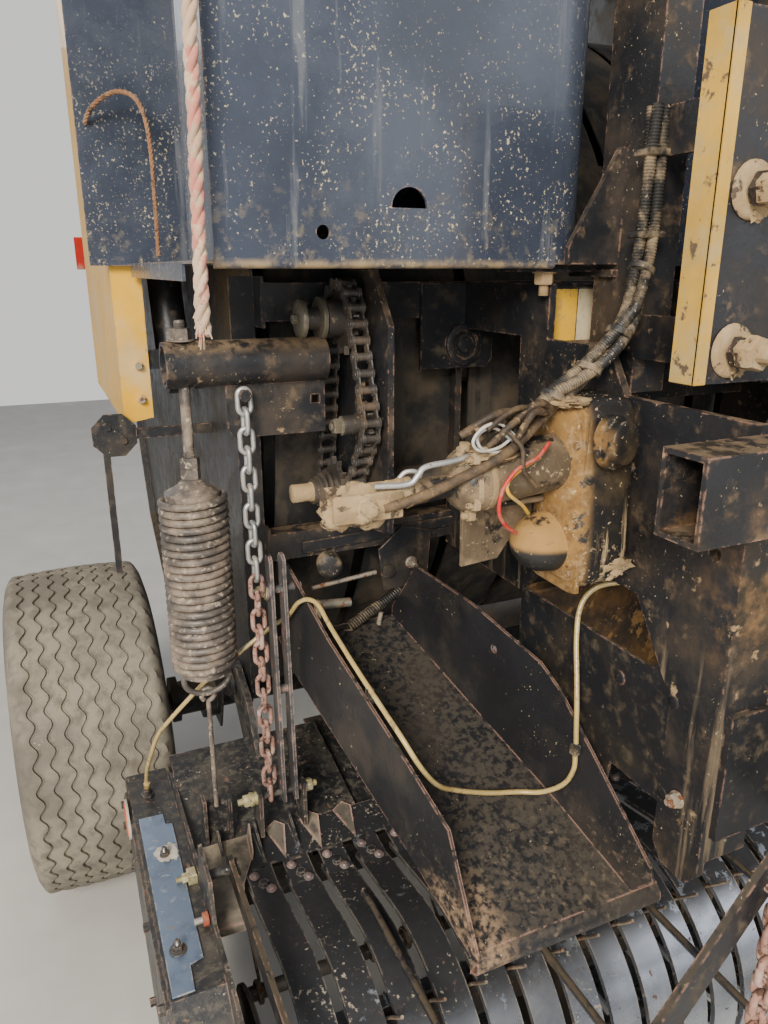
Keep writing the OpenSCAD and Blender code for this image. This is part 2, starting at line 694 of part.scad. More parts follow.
// pickup: end plates, decks, beam and pivot arms
module pickup_frame() {
  color([0.12, 0.12, 0.13]) {
    both() {
      difference() {
        yz(end_x - 6, end_x) union() {
          translate([reel_y, reel_z]) circle(r = band_r + 13);
          polygon([[0, 543], [96, 545], [110, 612], [190, 620], [205, 546], [500, 547], [560, 500],
            [560, 420], [250, 88], [0, 87]]);
        }
        rx(780, 800, reel_y, reel_z, 40.1);
      }
      // pin that carries the wind guard
      rx(742, 790, 150, 590, 16);
      rx(740, 744, 150, 590, 28);
      // side deck
      yz(486, 790) polygon([[300, 514], [540, 556], [540, 560], [300, 518]]);
      yz(560, 566) polygon([[300, 514], [540, 556], [520, 480], [400, 400], [330, 400]]);
      // pivot arm
      difference() {
        yz(612, 626) union() {
          polygon([[330, 330], [400, 330], [676, 612], [620, 676], [540, 640], [470, 540], [330, 400]]);
          translate([pick_y, pick_z]) circle(d = 84);
        }
        rx(600, 630, pick_y, pick_z, 40.1);
      }
      // lugs for the lift chain and the float spring
      for (x = [666, 585]) yz(x, x + 7) polygon([[302, 512], [318, 512], [318, 616], [272, 616],
        [272, 526], [302, 526]]);
      rx(588, 680, 288, 600.4, 11);
      box([716, 300, 516], [722, 330, 610]);
      box([760, 300, 516], [766, 330, 610]);
      box([722, 313, 516], [760, 319, 600]);
    }
    // feed floor between the side decks
    yz(-486, 486) polygon([[300, 500], [600, 528], [600, 532], [300, 504]]);
    yz(-486, -480) polygon([[300, 500], [540, 522], [540, 560], [300, 518]]);
    yz(480, 486) polygon([[300, 500], [540, 522], [540, 560], [300, 518]]);
    // beam
    difference() {
      box([-790, 330, 330], [790, 400, 400]);
      box([-784, 336, 336], [784, 394, 394]);
    }
    for (x = [-430, 0, 430]) yz(x - 4, x + 4) polygon([[336, 400], [394, 400], [420, 511], [336, 503]]);
    box([790, 330, 300], [796, 420, 420]);
  }
}

// stripper bands on a notched strip, with bolts, gussets and the rear bar
function band_x(i) = band_p * (i + 0.5 - band_n / 2);
module band_arc(t) {
  intersection() {
    difference() { circle(r = band_r, $fn = 96); circle(r = band_r - t, $fn = 96); }
    polygon([[0, 0], 400 * pol(80), 400 * pol(120), 400 * pol(180), 400 * pol(240), 400 * pol(270)]);
  }
}
module band_side(t) {
  translate([reel_y, reel_z]) {
    band_arc(t);
    polygon([[-1, -band_r], [228, -band_r], [228, t - band_r], [-1, t - band_r]]);
    polygon([band_r * pol(80), [200, 182], [200, 182 - t], (band_r - t) * pol(80)]);
  }
}
module stripper_bands() {
  color([0.3, 0.33, 0.38]) {
    for (i = [0 : band_n - 1]) {
      x = band_x(i);
      yz(x - band_w / 2, x + band_w / 2) band_side(3);
      yz(x - band_w / 2, x - band_w / 2 + 3) band_side(9);
      yz(x + band_w / 2 - 3, x + band_w / 2) band_side(9);
      translate([x, 185, 501]) rotate([-8, 0, 0]) hexb(17, 10);
    }
    difference() {
      yz(-790, 790) polygon([[150, 498], [300, 514], [300, 518], [150, 502]]);
      for (i = [-band_n / 2 : band_n / 2]) box([i * band_p - 10, 140, 480], [i * band_p + 10, 225, 530]);
    }
    for (x = [-759, -693, -627, 627, 693, 759]) yz(x + 12, x + 16) polygon([[215, 505], [300, 518], [300, 545]]);
    box([-790, 200, 88], [790, 228, 103]);
  }
}

// drive housing on the right end with cover plate and oil fitting
module drive_box() {
  color([0.13, 0.14, 0.16]) {
    difference() {
      yz(-876, -796) polygon([[-70, 250], [20, 190], [300, 190], [590, 410], [590, 500], [560, 521],
        [10, 521], [-70, 450]]);
      rx(-806, -790, reel_y, reel_z, 60);
    }
    yz(-882, -876) polygon([[-40, 262], [30, 215], [290, 215], [560, 420], [560, 480], [540, 500],
      [20, 500], [-40, 440]]);
    for (b = [[-20, 280], [-20, 430], [40, 480], [200, 480], [360, 480], [530, 480], [530, 430],
      [280, 235], [120, 232]]) bolt_x(-882, b[0], b[1], 16, -1);
    rz(521, 536, -842, 485, 18);
  }
}

module pickup_reel() {
  color([0.3, 0.3, 0.31]) {
    rx(-780, 780, reel_y, reel_z, 60);
    both() rx(780, 795, reel_y, reel_z, 40);
    for (x = [-760, -262, 260, 758]) rx(x - 4, x + 4, reel_y, reel_z, 276);
    for (k = [0 : tine_bars - 1]) {
      a = 360 * (k + 0.35) / tine_bars;
      c = [reel_y, reel_z] + 118 * pol(a);
      rx(-760, 760, c[0], c[1], 24);
      for (i = [-band_n / 2 : band_n / 2]) {
        x = i * band_p;
        yz(x - 2.6, x + 2.6) translate([reel_y, reel_z]) rotate(a) polygon([[118, -2.6],
          [tine_r - 24, 12], [tine_r, 2], [tine_r, 7], [tine_r - 24, 18], [118, 3]]);
      }
    }
  }
}

// wind guard: arms, front bar and rods over the bands
guard_x = [-561, -363, -165, 33, 165, 363, 561];
module wind_guard() {
  color([0.12, 0.11, 0.1]) {
    both() difference() {
      yz(748, 756) union() {
        polygon([[150, 572], [150, 608], [-330, 590], [-420, 560], [-420, 530], [-330, 552]]);
        translate([150, 590]) circle(d = 40);
      }
      rx(740, 760, 150, 590, 16.1);
    }
    rx(-748, 748, -410, 546, 30);
    for (x = guard_x) {
      ry(-412, 60, x, 549, 12);
    }
  }
}

module lift_links() {
  color([0.16, 0.15, 0.15]) {
    for (x = [-628, -606]) difference() {
      yz(x, x + 6) polygon([[274, 586], [302, 586], [324, 1040], [316, 1048], [304, 1048], [296, 1040]]);
      rx(-660, -590, 288, 600.4, 11.4);
    }
    rx(-640, -572, 308, 986, 14);
    rx(-634, -628, 308, 986, 34);
    rx(-622, -606, 300, 800, 16);
  }
}

module tyre() {
  color([0.32, 0.3, 0.28]) rotate([0, 90, 0]) rotate_extrude($fn = 96) difference() {
    polygon([[rim_r + 0.3, -126], [rim_r + 14, -138.5], [260, -tyre_w / 2 + 2], [300, -tyre_w / 2],
      [340, -tyre_w / 2 + 2], [374, -148], [tyre_r - 4, -134], [tyre_r, -110], [tyre_r, 110],
      [tyre_r - 4, 134], [374, 148], [340, tyre_w / 2 - 2], [300, tyre_w / 2],
      [260, tyre_w / 2 - 2], [rim_r + 14, 138.5], [rim_r + 0.3, 126]]);
    for (x = [-90, -54, -18, 18, 54, 90]) translate([tyre_r - 9, x - 4]) square([12, 8]);
  }
}
module tyre_right() { translate([-tyre_x, axle_y, tyre_z]) tyre(); }
module tyre_left() { translate([tyre_x, axle_y, tyre_z]) tyre(); }

module rim() {
  color([0.85, 0.65, 0.1]) rotate([0, 90, 0]) {
    difference() {
      rotate_extrude($fn = 96) {
        polygon([[rim_r, -128], [rim_r + 12, -140], [rim_r + 12, -144], [rim_r - 6, -144],
          [rim_r - 6, -60], [rim_r - 30, -50], [rim_r - 30, 50], [rim_r - 6, 60], [rim_r - 6, 144],
          [rim_r + 12, 144], [rim_r + 12, 140], [rim_r, 128], [rim_r, 60], [rim_r - 24, 50],
          [rim_r - 24, -50], [rim_r, -60]]);
        polygon([[25.05, -14], [60, -14], [60, 30], [rim_r - 28, 40], [rim_r - 28, 48], [70, 42],
          [60, 90], [44, 96], [44, 60], [25.05, 60]]);
      }
      for (k = [0 : 7]) rotate(45 * k) translate([118, 0, 20]) cylinder(d = 30, h = 40);
    }
    for (k = [0 : 5]) rotate(60 * k + 10) translate([84, 0, 40]) hexb(26, 20);
  }
}
module rim_right() { translate([-tyre_x, axle_y, tyre_z]) mirror([1, 0, 0]) rim(); }
module rim_left() { translate([tyre_x, axle_y, tyre_z]) rim(); }

// rear gate: side walls, hinge arms, cross beams and the curved rear sheet
module gate_frame() {
  color([0.1, 0.1, 0.11]) {
    both() {
      yz(wall_x, wall_o) polygon([[gate_y + 50, gate_z - 38], [gate_y + 60, gate_z + 10],
        [1340, gate_z + 10], [1640, 2220], [1880, 2040],
        [2050, 1780], [2130, 1480], [2140, 1240], [2100, 930], [1950, 640], [1700, 470],
        [1450, 410], [1220, 405], [1194, 475]]);
      difference() {
        yz(612, 626) union() {
          translate([gate_y, gate_z]) circle(d = 76);
          polygon([[gate_y, gate_z - 38], [gate_y + 70, gate_z - 60], [1240, gate_z - 100],
            [1240, gate_z - 10], [gate_y + 30, gate_z + 34]]);
        }
        rx(600, 640, gate_y, gate_z, gate_pin + hole);
      }
      yz(wall_o, 612) polygon([[gate_y + 90, gate_z - 60], [1230, gate_z - 94], [1230, gate_z - 15],
        [gate_y + 90, gate_z]]);
      // flange round the rear edge
      yz(606, 626) difference() {
        polygon([[1640, 2220], [1880, 2040], [2050, 1780], [2130, 1480], [2140, 1240], [2100, 930],
          [1950, 640], [1700, 470], [1694, 478], [1942, 646], [2092, 933], [2131, 1240],
          [2121, 1478], [2042, 1776], [1874, 2033], [1636, 2211]]);
      }
      // lug for the rod of the lift cylinder
      yz(wall_o, 630) translate([1150, 2100]) circle(d = 90);
      // lower latch bracket
      box([wall_o, 1230, 470], [622, 1300, 500]);
    }
    rx(-600, 600, 1150, gate_z - 45, 60);
    rx(-600, 600, 1990, 1850, 50);
    rx(-600, 600, 1640, 2160, 50);
    box([-600, 1290, 405], [600, 1340, 412]);
    // curved rear sheet
    translate([0, cham_y, cham_z]) yz(-600, 600) intersection() {
      difference() { circle(r = 862, $fn = 120); circle(r = 858, $fn = 120); }
      polygon([[0, 0], 1400 * pol(22), 1400 * pol(50), 1400 * pol(74)]);
    }
  }
}
groll_a = [-84, -58, -32, -6, 20, 46, 62, 78];
module gate_rollers() {
  color([0.35, 0.35, 0.37]) for (a = groll_a) {
    y = cham_y + 806 * cos(a);
    z = cham_z + 806 * sin(a);
    rx(-570, 570, y, z, 74);
    rx(-600, 600, y, z, 34);
  }
}
module gate_belts() { color([0.13, 0.12, 0.11]) belt_set(-84, 78); }

module tail_lamps() {
  color([0.5, 0.06, 0.05]) both() {
    box([wall_o, 1960, 1500], [780, 1966, 1600]);
    ry(1966, 1990, 660, 1550, 80);
    ry(1966, 1990, 740, 1550, 56);
  }
}

// gate lift cylinders
cyl_b = [890, 1280];
cyl_e = [1150, 2100];
cyl_n = norm(cyl_e - cyl_b);
cyl_u = (cyl_e - cyl_b) / cyl_n;
module barrel() {
  color([0.12, 0.12, 0.13]) difference() {
    union() {
      rod([660, cyl_b[0] + 40 * cyl_u[0], cyl_b[1] + 40 * cyl_u[1]],
        [660, cyl_b[0] + 700 * cyl_u[0], cyl_b[1] + 700 * cyl_u[1]], 72);
      rx(642, 680, cyl_b[0], cyl_b[1], 84);
      rod([660, cyl_b[0] + 670 * cyl_u[0], cyl_b[1] + 670 * cyl_u[1]],
        [660, cyl_b[0] + 704 * cyl_u[0], cyl_b[1] + 704 * cyl_u[1]], 82);
    }
    rod([660, cyl_b[0] + 80 * cyl_u[0], cyl_b[1] + 80 * cyl_u[1]],
      [660, cyl_b[0] + 720 * cyl_u[0], cyl_b[1] + 720 * cyl_u[1]], 40.1);
    rx(630, 700, cyl_b[0], cyl_b[1], 36.1);
  }
}
module ram() {
  color([0.7, 0.7, 0.72]) {
    rod([660, cyl_b[0] + 100 * cyl_u[0], cyl_b[1] + 100 * cyl_u[1]],
      [660, cyl_b[0] + 835 * cyl_u[0], cyl_b[1] + 835 * cyl_u[1]], 40);
    rx(637, 683, cyl_e[0], cyl_e[1], 78);
    rx(635.5, 687, cyl_e[0], cyl_e[1], 36);
  }
}
module barrel_left() { barrel(); }
module barrel_right() { mirror([1, 0, 0]) barrel(); }
module rod_left() { ram(); }
module rod_right() { mirror([1, 0, 0]) ram(); }

// side shields, hinged along their top edge
module shield() {
  color([0.85, 0.62, 0.08]) {
    difference() {
      union() {
        box([780, 820, 1190], [784, 1500, shield_z - 46]);
        box([724, 820, 1215], [784, 824, shield_z - 46]);
        box([724, 1496, 1230], [784, 1500, shield_z - 46]);
        translate([0, 0, shield_z]) {
          xz(820, 1500) polygon([[784, -50], [784, -46], [724, -5.5], [724, -9.5]]);
          xz(846, 910) polygon([[730, -13.6], [730, -9.6], [717, 0], [716, -5]]);
        }
        xz(820, 824) polygon([[784, 1190], [784, 1216], [724, 1216], [724, 1200]]);
      }
    }
    difference() {
      ry(846, 910, 708, shield_z, 22);
      ry(840, 916, 708, shield_z, 12.1);
    }
    for (z = [1240, 1310]) ry(812, 820, 746, z, 18);
  }
}
module shield_left() { shield(); }
module shield_right() { mirror([1, 0, 0]) shield(); }

main_frame();
body_walls();
axle();
tongue();
front_rollers();
front_belts();
gearbox();
drive_sprockets();
drive_chain();
pto_shaft();
chute();
twine_box_right();
twine_box_left();
float_spring_right();
float_spring_left();
lift_chain_right();
lift_chain_left();
wrap_actuator();
wire_loom();
oil_line();
oil_feed();
lamp_bracket();
hanging_rope();
tie_rope();
jack_outer();
jack_inner();
safety_chain();
pickup_frame();
stripper_bands();
drive_box();
pickup_reel();
wind_guard();
lift_links();
tyre_right();
tyre_left();
rim_right();
rim_left();
gate_frame();
gate_rollers();
gate_belts();
tail_lamps();
barrel_right();
barrel_left();
rod_right();
rod_left();
shield_right();
shield_left();
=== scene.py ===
"""Pulled round baler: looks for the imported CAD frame.

Lengths are millimetres in the CAD's frame (+X machine's left, +Y rearward, +Z up, ground at 0);
they become metres when a mesh is made.
"""

import math
import random
import statistics

import bpy
from mathutils import Matrix, Vector, noise


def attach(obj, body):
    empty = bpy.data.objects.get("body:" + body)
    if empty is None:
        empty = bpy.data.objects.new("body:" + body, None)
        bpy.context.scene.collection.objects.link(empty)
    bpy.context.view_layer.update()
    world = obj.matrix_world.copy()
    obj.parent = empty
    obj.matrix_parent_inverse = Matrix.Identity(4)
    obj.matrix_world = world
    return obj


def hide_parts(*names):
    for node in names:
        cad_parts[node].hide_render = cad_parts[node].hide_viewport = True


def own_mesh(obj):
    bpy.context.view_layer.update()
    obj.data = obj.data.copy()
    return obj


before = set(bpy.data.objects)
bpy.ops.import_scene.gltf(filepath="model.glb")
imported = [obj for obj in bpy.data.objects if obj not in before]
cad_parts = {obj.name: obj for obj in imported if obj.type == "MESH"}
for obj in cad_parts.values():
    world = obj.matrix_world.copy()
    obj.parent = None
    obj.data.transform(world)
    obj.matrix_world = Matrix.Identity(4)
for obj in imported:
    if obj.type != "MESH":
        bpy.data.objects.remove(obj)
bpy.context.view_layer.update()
scene = bpy.context.scene
MM = 0.001
TAU = 2 * math.pi

# camera and light

CAMERA_AT = (-0.936, -0.86, 1.5)
CAMERA_PITCH, CAMERA_YAW = 17.5, 24
LENS_PIXELS, LONG_SIDE, SENSOR = 769, 1024, 36


def make_camera():
    data = bpy.data.cameras.new("camera")
    data.sensor_width = SENSOR
    data.lens = SENSOR * LENS_PIXELS / LONG_SIDE
    data.clip_start = 0.02
    obj = bpy.data.objects.new("camera", data)
    obj.location = CAMERA_AT
    obj.rotation_euler = (math.radians(90 - CAMERA_PITCH), 0, math.radians(-CAMERA_YAW))
    scene.collection.objects.link(obj)
    scene.camera = obj


def area_light(name, at, towards, size, power, colour=(1, 1, 1)):
    data = bpy.data.lights.new(name, "AREA")
    data.shape = "RECTANGLE"
    data.size, data.size_y = size
    data.energy = power
    data.color = colour
    obj = bpy.data.objects.new(name, data)
    obj.location = at
    obj.rotation_euler = (Vector(towards) - Vector(at)).to_track_quat("-Z", "Y").to_euler()
    obj.visible_camera = False
    scene.collection.objects.link(obj)


def make_world():
    """Even studio light, which the camera sees as a plain pale wall."""
    world = bpy.data.worlds.new("studio")
    scene.world = world
    world.use_nodes = True
    tree = world.node_tree
    tree.nodes.clear()

    def background(colour, strength):
        n = tree.nodes.new("ShaderNodeBackground")
        n.inputs["Color"].default_value = (*colour, 1)
        n.inputs["Strength"].default_value = strength
        return n.outputs[0]
    pick = tree.nodes.new("ShaderNodeMixShader")
    out = tree.nodes.new("ShaderNodeOutputWorld")
    camera_ray = tree.nodes.new("ShaderNodeLightPath").outputs["Is Camera Ray"]
    for source, socket in ((camera_ray, pick.inputs["Fac"]),
                           (background((0.93, 0.96, 1.0), 0.46), pick.inputs[1]),
                           (background((0.86, 0.85, 0.83), 1.0), pick.inputs[2]),
                           (pick.outputs[0], out.inputs["Surface"])):
        tree.links.new(source, socket)


# shader graphs

NORMAL = statistics.NormalDist()
SPREAD = 0.075  # of a fine noise about its middle


class Graph:
    """The nodes of one material, with short calls for what the finishes share."""

    def __init__(self, name):
        self.mat = bpy.data.materials.new(name)
        self.mat.use_nodes = True
        self.tree = self.mat.node_tree
        self.tree.nodes.clear()
        self.out = self.node("ShaderNodeOutputMaterial")
        self.bsdf = self.node("ShaderNodeBsdfPrincipled")
        self.link(self.bsdf.outputs[0], self.out.inputs["Surface"])
        self.place = self.node("ShaderNodeTexCoord").outputs["Object"]
        self.geometry = self.node("ShaderNodeNewGeometry")

    def node(self, kind, feeds=None, **values):
        """A node with its settings; feeds go to its inputs by name or place."""
        n = self.tree.nodes.new(kind)
        for key, value in values.items():
            setattr(n, key, value)
        for key, value in (feeds or {}).items():
            self.feed(n.inputs[key], value)
        return n

    def link(self, a, b):
        self.tree.links.new(a, b)

    def feed(self, socket, value):
        if isinstance(value, bpy.types.NodeSocket):
            self.link(value, socket)
        elif isinstance(value, (tuple, list)) and len(value) == 3 and socket.type == "RGBA":
            socket.default_value = (*value, 1)
        else:
            socket.default_value = value

    def stretched(self, factors):
        return self.node("ShaderNodeMapping", {"Vector": self.place, "Scale": factors}).outputs[0]

    def noise(self, scale, detail=5, rough=0.6, stretch=None):
        place = self.stretched(stretch) if stretch else self.place
        return self.node("ShaderNodeTexNoise", {"Vector": place, "Scale": scale, "Detail": detail,
                                                "Roughness": rough}).outputs["Fac"]

    def band(self, value, low, high):
        return self.node("ShaderNodeMapRange", {"Value": value, "From Min": low, "From Max": high},
                         interpolation_type="SMOOTHSTEP").outputs[0]

    def math(self, operation, a, b=0.0):
        return self.node("ShaderNodeMath", {0: a, 1: b}, operation=operation).outputs[0]

    def mix(self, share, a, b):
        return self.node("ShaderNodeMix", {"Factor": share, 6: a, 7: b}, data_type="RGBA").outputs[2]

    def blend(self, share, a, b):
        return self.node("ShaderNodeMix", {"Factor": share, 2: a, 3: b}, data_type="FLOAT").outputs[0]

    def axis(self, source, index):
        return self.node("ShaderNodeSeparateXYZ", {0: source}).outputs[index]

    def edge(self, radius):
        """1 on the edges of the mesh, 0 on its faces."""
        bevel = self.node("ShaderNodeBevel", {"Radius": radius}, samples=3)
        dot = self.node("ShaderNodeVectorMath", {0: bevel.outputs[0], 1: self.geometry.outputs["Normal"]},
                        operation="DOT_PRODUCT")
        return self.band(self.math("SUBTRACT", 1.0, dot.outputs["Value"]), 0.02, 0.16)

    def mask(self, kind, amount, scale):
        """Where a layer lies: amount is the share covered, scale in waves a metre."""
        grain = self.noise(scale, 7, 0.65)
        low = 0.5 + SPREAD * NORMAL.inv_cdf(1 - min(0.97, amount))
        if kind == "film":
            return self.math("MULTIPLY", self.band(grain, low - 0.08, low + 0.14), 0.75)
        if kind == "specks":
            clump = self.noise(scale * 0.07, 3)
            both = self.math("ADD", self.math("MULTIPLY", grain, 0.75), self.math("MULTIPLY", clump, 0.25))
            return self.band(both, low, low + 0.03)
        if kind == "patch":
            return self.band(grain, low, low + 0.06)
        if kind == "up":
            top = self.band(self.axis(self.geometry.outputs["Normal"], 2), 0.35, 0.85)
            return self.math("MULTIPLY", top, self.band(grain, low - 0.08, low + 0.06))
        if kind == "edge":
            return self.math("MULTIPLY", self.edge(0.004), self.band(grain, low - 0.03, low + 0.06))
        if kind == "streak":
            run = self.noise(scale, 5, 0.6, stretch=(1, 1, 0.07))
            return self.band(run, low, low + 0.1)
        raise ValueError(kind)


def layer(kind):
    """Short call for one kind of layer; ramps (axis, from, to) in mm keep it to a zone."""
    def made(colour, amount, scale, rough, metal=None, *ramps):
        return (kind, colour, amount, scale, rough, metal, *ramps)
    return made


film, specks, patch, up, edge, streak = map(layer, ("film", "specks", "patch", "up", "edge", "streak"))


def scaled(colour, factor):
    return tuple(min(1.0, c * factor) for c in colour)


def finish(name, colour, rough, metal=0.0, layers=(), bumps=(), vary=0.2, coat=0.0, sheen=0.0):
    """Principled finish under layers, with bumps as (scale, depth in mm)."""
    g = Graph(name)
    tone = g.mix(g.band(g.noise(7, 4), 0.3, 0.7), scaled(colour, 1 - vary), scaled(colour, 1 + vary))
    gloss = g.blend(g.band(g.noise(16, 5), 0.3, 0.7), rough * 0.85, min(1.0, rough * 1.2))
    metallic = metal
    for kind, paint, amount, scale, layer_rough, layer_metal, *ramps in layers:
        share = g.mask(kind, amount, scale)
        for index, start, end in ramps:
            share = g.math("MULTIPLY", share, g.band(g.axis(g.place, index), start * MM, end * MM))
        shade = g.mix(g.noise(scale * 2.3, 3), scaled(paint, 0.72), scaled(paint, 1.22))
        tone = g.mix(share, tone, shade)
        gloss = g.blend(share, gloss, layer_rough)
        if layer_metal is not None:
            metallic = g.blend(share, metallic, layer_metal)
    for socket, value in (("Base Color", tone), ("Roughness", gloss), ("Metallic", metallic),
                          ("Coat Weight", coat), ("Sheen Weight", sheen)):
        g.feed(g.bsdf.inputs[socket], value)
    normal = None
    for scale, depth in bumps:
        bump = g.node("ShaderNodeBump", {"Strength": 1.0, "Distance": depth * MM,
                                         "Height": g.noise(scale, 4)})
        if normal is not None:
            g.link(normal, bump.inputs["Normal"])
        normal = bump.outputs[0]
    if normal is not None:
        g.link(normal, g.bsdf.inputs["Normal"])
    return g.mat


DUST = (0.34, 0.25, 0.15)
SPECK = (0.42, 0.33, 0.2)
RUST = (0.17, 0.065, 0.028)
PALE_RUST = (0.36, 0.2, 0.14)
BLACK = (0.016, 0.0165, 0.019)


def frame_paint(name, dust, tone, speckled=0.03, worn=0.35):
    """Black frame paint: share of dust, its tone, share of specks, wear on the edges."""
    return finish(
        name, BLACK, 0.36, layers=(
            film(scaled(DUST, tone * 0.45), dust, 5, 0.7),
            film(scaled(DUST, tone * 0.8), dust * 0.7, 40, 0.85),
            up(scaled(DUST, tone * 0.6), 0.75, 55, 0.9),
            patch(scaled(DUST, tone * 1.3), 0.1 * dust, 85, 0.9),
            specks(SPECK, speckled, 170, 0.85),
            edge(PALE_RUST, worn, 60, 0.6),
        ), bumps=((90, 0.4), (420, 0.15)))


FRAME = frame_paint("frame_black", 0.22, 0.34)
# Darker copy of the frame paint for the inside walls: its darker dust tone is painted shade of the enclosed
# interior.
FRAME_INNER_SHADED = frame_paint("frame_black_inner_painted_shade", 0.2, 0.26, 0.03, 0.3)
FRAME_CLEAN = frame_paint("frame_black_cleaner", 0.15, 0.4, 0.015, 0.25)
DECK = finish("deck_black", (0.021, 0.021, 0.023), 0.4, layers=(
    film((0.085, 0.072, 0.055), 0.34, 9, 0.7),
    film((0.12, 0.105, 0.08), 0.3, 70, 0.85),
    specks((0.44, 0.37, 0.27), 0.07, 190, 0.85),
    patch((0.2, 0.11, 0.075), 0.04, 40, 0.8),
    edge((0.36, 0.22, 0.165), 0.45, 40, 0.6),
), bumps=((70, 0.5), (380, 0.25)))
LINKS_STEEL = finish("link_bars", (0.085, 0.082, 0.085), 0.36, 0.3, layers=(
    film((0.16, 0.12, 0.1), 0.35, 30, 0.7, 0.0),
    patch((0.33, 0.16, 0.12), 0.16, 60, 0.75, 0.0),
    edge((0.44, 0.33, 0.28), 0.8, 60, 0.5, 0.2),
), bumps=((260, 0.3),))
TROUGH = finish("trough_black", (0.017, 0.017, 0.019), 0.42, layers=(
    film((0.055, 0.043, 0.032), 0.3, 6, 0.7),
    up((0.055, 0.045, 0.034), 0.5, 90, 0.8),
    film((0.2, 0.145, 0.09), 0.1, 80, 0.9, None, (1, 60, -160), (2, 760, 700)),
    film((0.34, 0.22, 0.13), 0.6, 90, 0.95, None, (1, -60, -130), (2, 720, 690), (0, -430, -470)),
    specks(SPECK, 0.04, 150, 0.85),
    edge((0.42, 0.24, 0.18), 0.75, 40, 0.6),
), bumps=((70, 0.6), (380, 0.2)))
FRAME_MUDDY = finish("frame_black_muddy", BLACK, 0.38, layers=(
    film((0.06, 0.042, 0.027), 0.28, 8, 0.7),
    film((0.17, 0.115, 0.065), 0.07, 30, 0.9),
    patch((0.34, 0.23, 0.12), 0.05, 26, 0.95, None, (2, 1520, 1330)),
    film((0.26, 0.145, 0.06), 0.3, 18, 0.9, None, (1, -200, -300), (2, 1300, 1230), (2, 1000, 1110)),
    streak((0.16, 0.12, 0.075), 0.22, 30, 0.85, None, (2, 1100, 980)),
    up((0.15, 0.1, 0.055), 0.6, 40, 0.9),
    specks(SPECK, 0.05, 170, 0.85),
    edge(PALE_RUST, 0.35, 60, 0.6),
), bumps=((60, 0.9), (300, 0.3)))
# Dark cover paint; the blue in its colour is a painted reflection of the sky, the dust, specks, mud and edge
# wear below are real.
COVER_PAINTED_SHEEN = finish("cover_black_painted_blue_sheen", (0.04, 0.049, 0.072), 0.25, layers=(
    # pale blue blotches: painted reflection of the sky
    film((0.065, 0.077, 0.105), 0.25, 4, 0.3),
    # pale blue-grey vertical streaks: painted highlights
    streak((0.11, 0.12, 0.14), 0.16, 26, 0.4),
    film((0.24, 0.19, 0.12), 0.1, 60, 0.8, None, (2, 1640, 1500)),
    specks((0.46, 0.39, 0.26), 0.04, 150, 0.85),
    specks((0.52, 0.44, 0.29), 0.13, 190, 0.85, None, (2, 2000, 1600)),
    patch((0.38, 0.29, 0.17), 0.02, 90, 0.9, None, (2, 1800, 1560)),
    film((0.36, 0.25, 0.12), 0.8, 24, 0.9, None, (2, 1515, 1506), (1, 110, 100)),
    edge(PALE_RUST, 0.5, 50, 0.6),
), bumps=((60, 0.3), (7, 1.5)), coat=0.2)
YELLOW = finish("shield_yellow", (0.8, 0.43, 0.018), 0.38, layers=(
    film((0.62, 0.46, 0.24), 0.3, 6, 0.6),
    patch(DUST, 0.05, 18, 0.85),
    edge((0.25, 0.16, 0.08), 0.5, 50, 0.7),
), bumps=((80, 0.2),), vary=0.08, coat=0.2)
RIM = finish("rim_yellow", (0.62, 0.35, 0.03), 0.5, layers=(
    film(DUST, 0.6, 8, 0.9),
    patch(RUST, 0.08, 20, 0.8),
), bumps=((90, 0.3),), vary=0.1)
BAND = finish("band_worn_steel", (0.46, 0.49, 0.55), 0.26, 0.9, layers=(
    film((0.24, 0.255, 0.29), 0.3, 9, 0.34, 0.8),
    patch((0.05, 0.052, 0.057), 0.97, 12, 0.36, 0.45, (2, 420, 500), (0, -60, -420)),
    patch((0.04, 0.04, 0.043), 0.9, 30, 0.42, 0.3, (2, 470, 500)),
    specks((0.34, 0.29, 0.22), 0.1, 140, 0.85, 0.0, (0, 0, -300)),
    patch((0.1, 0.065, 0.05), 0.05, 60, 0.8, 0.1),
    edge((0.5, 0.42, 0.34), 0.7, 40, 0.4, 0.6),
), bumps=((240, 0.12),))
OILY = finish("oily_steel", (0.085, 0.075, 0.066), 0.42, 0.5, layers=(
    film((0.13, 0.085, 0.05), 0.4, 18, 0.7, 0.0),
    specks((0.3, 0.22, 0.14), 0.06, 130, 0.85, 0.0),
    edge((0.34, 0.33, 0.32), 0.62, 60, 0.35, 0.9),
), bumps=((160, 0.35),))
ZINC = finish("galvanised_chain", (0.5, 0.5, 0.49), 0.42, 0.75, layers=(
    film((0.36, 0.3, 0.24), 0.3, 40, 0.7, 0.2),
    specks((0.2, 0.15, 0.11), 0.12, 200, 0.8, 0.0),
), bumps=((300, 0.15),))
RUST_CHAIN = finish("rusty_chain", (0.33, 0.18, 0.135), 0.72, 0.2, layers=(
    film((0.55, 0.42, 0.36), 0.35, 50, 0.7, 0.2),
    patch((0.1, 0.05, 0.035), 0.3, 90, 0.85, 0.0),
), bumps=((260, 0.35),))
SPRING = finish("spring_muddy", (0.105, 0.092, 0.082), 0.45, 0.3, layers=(
    film((0.33, 0.25, 0.185), 0.5, 16, 0.8, 0.0),
    patch((0.42, 0.34, 0.25), 0.2, 90, 0.9, 0.0),
    film((0.045, 0.037, 0.032), 0.2, 40, 0.6, 0.1),
), bumps=((240, 0.25),))
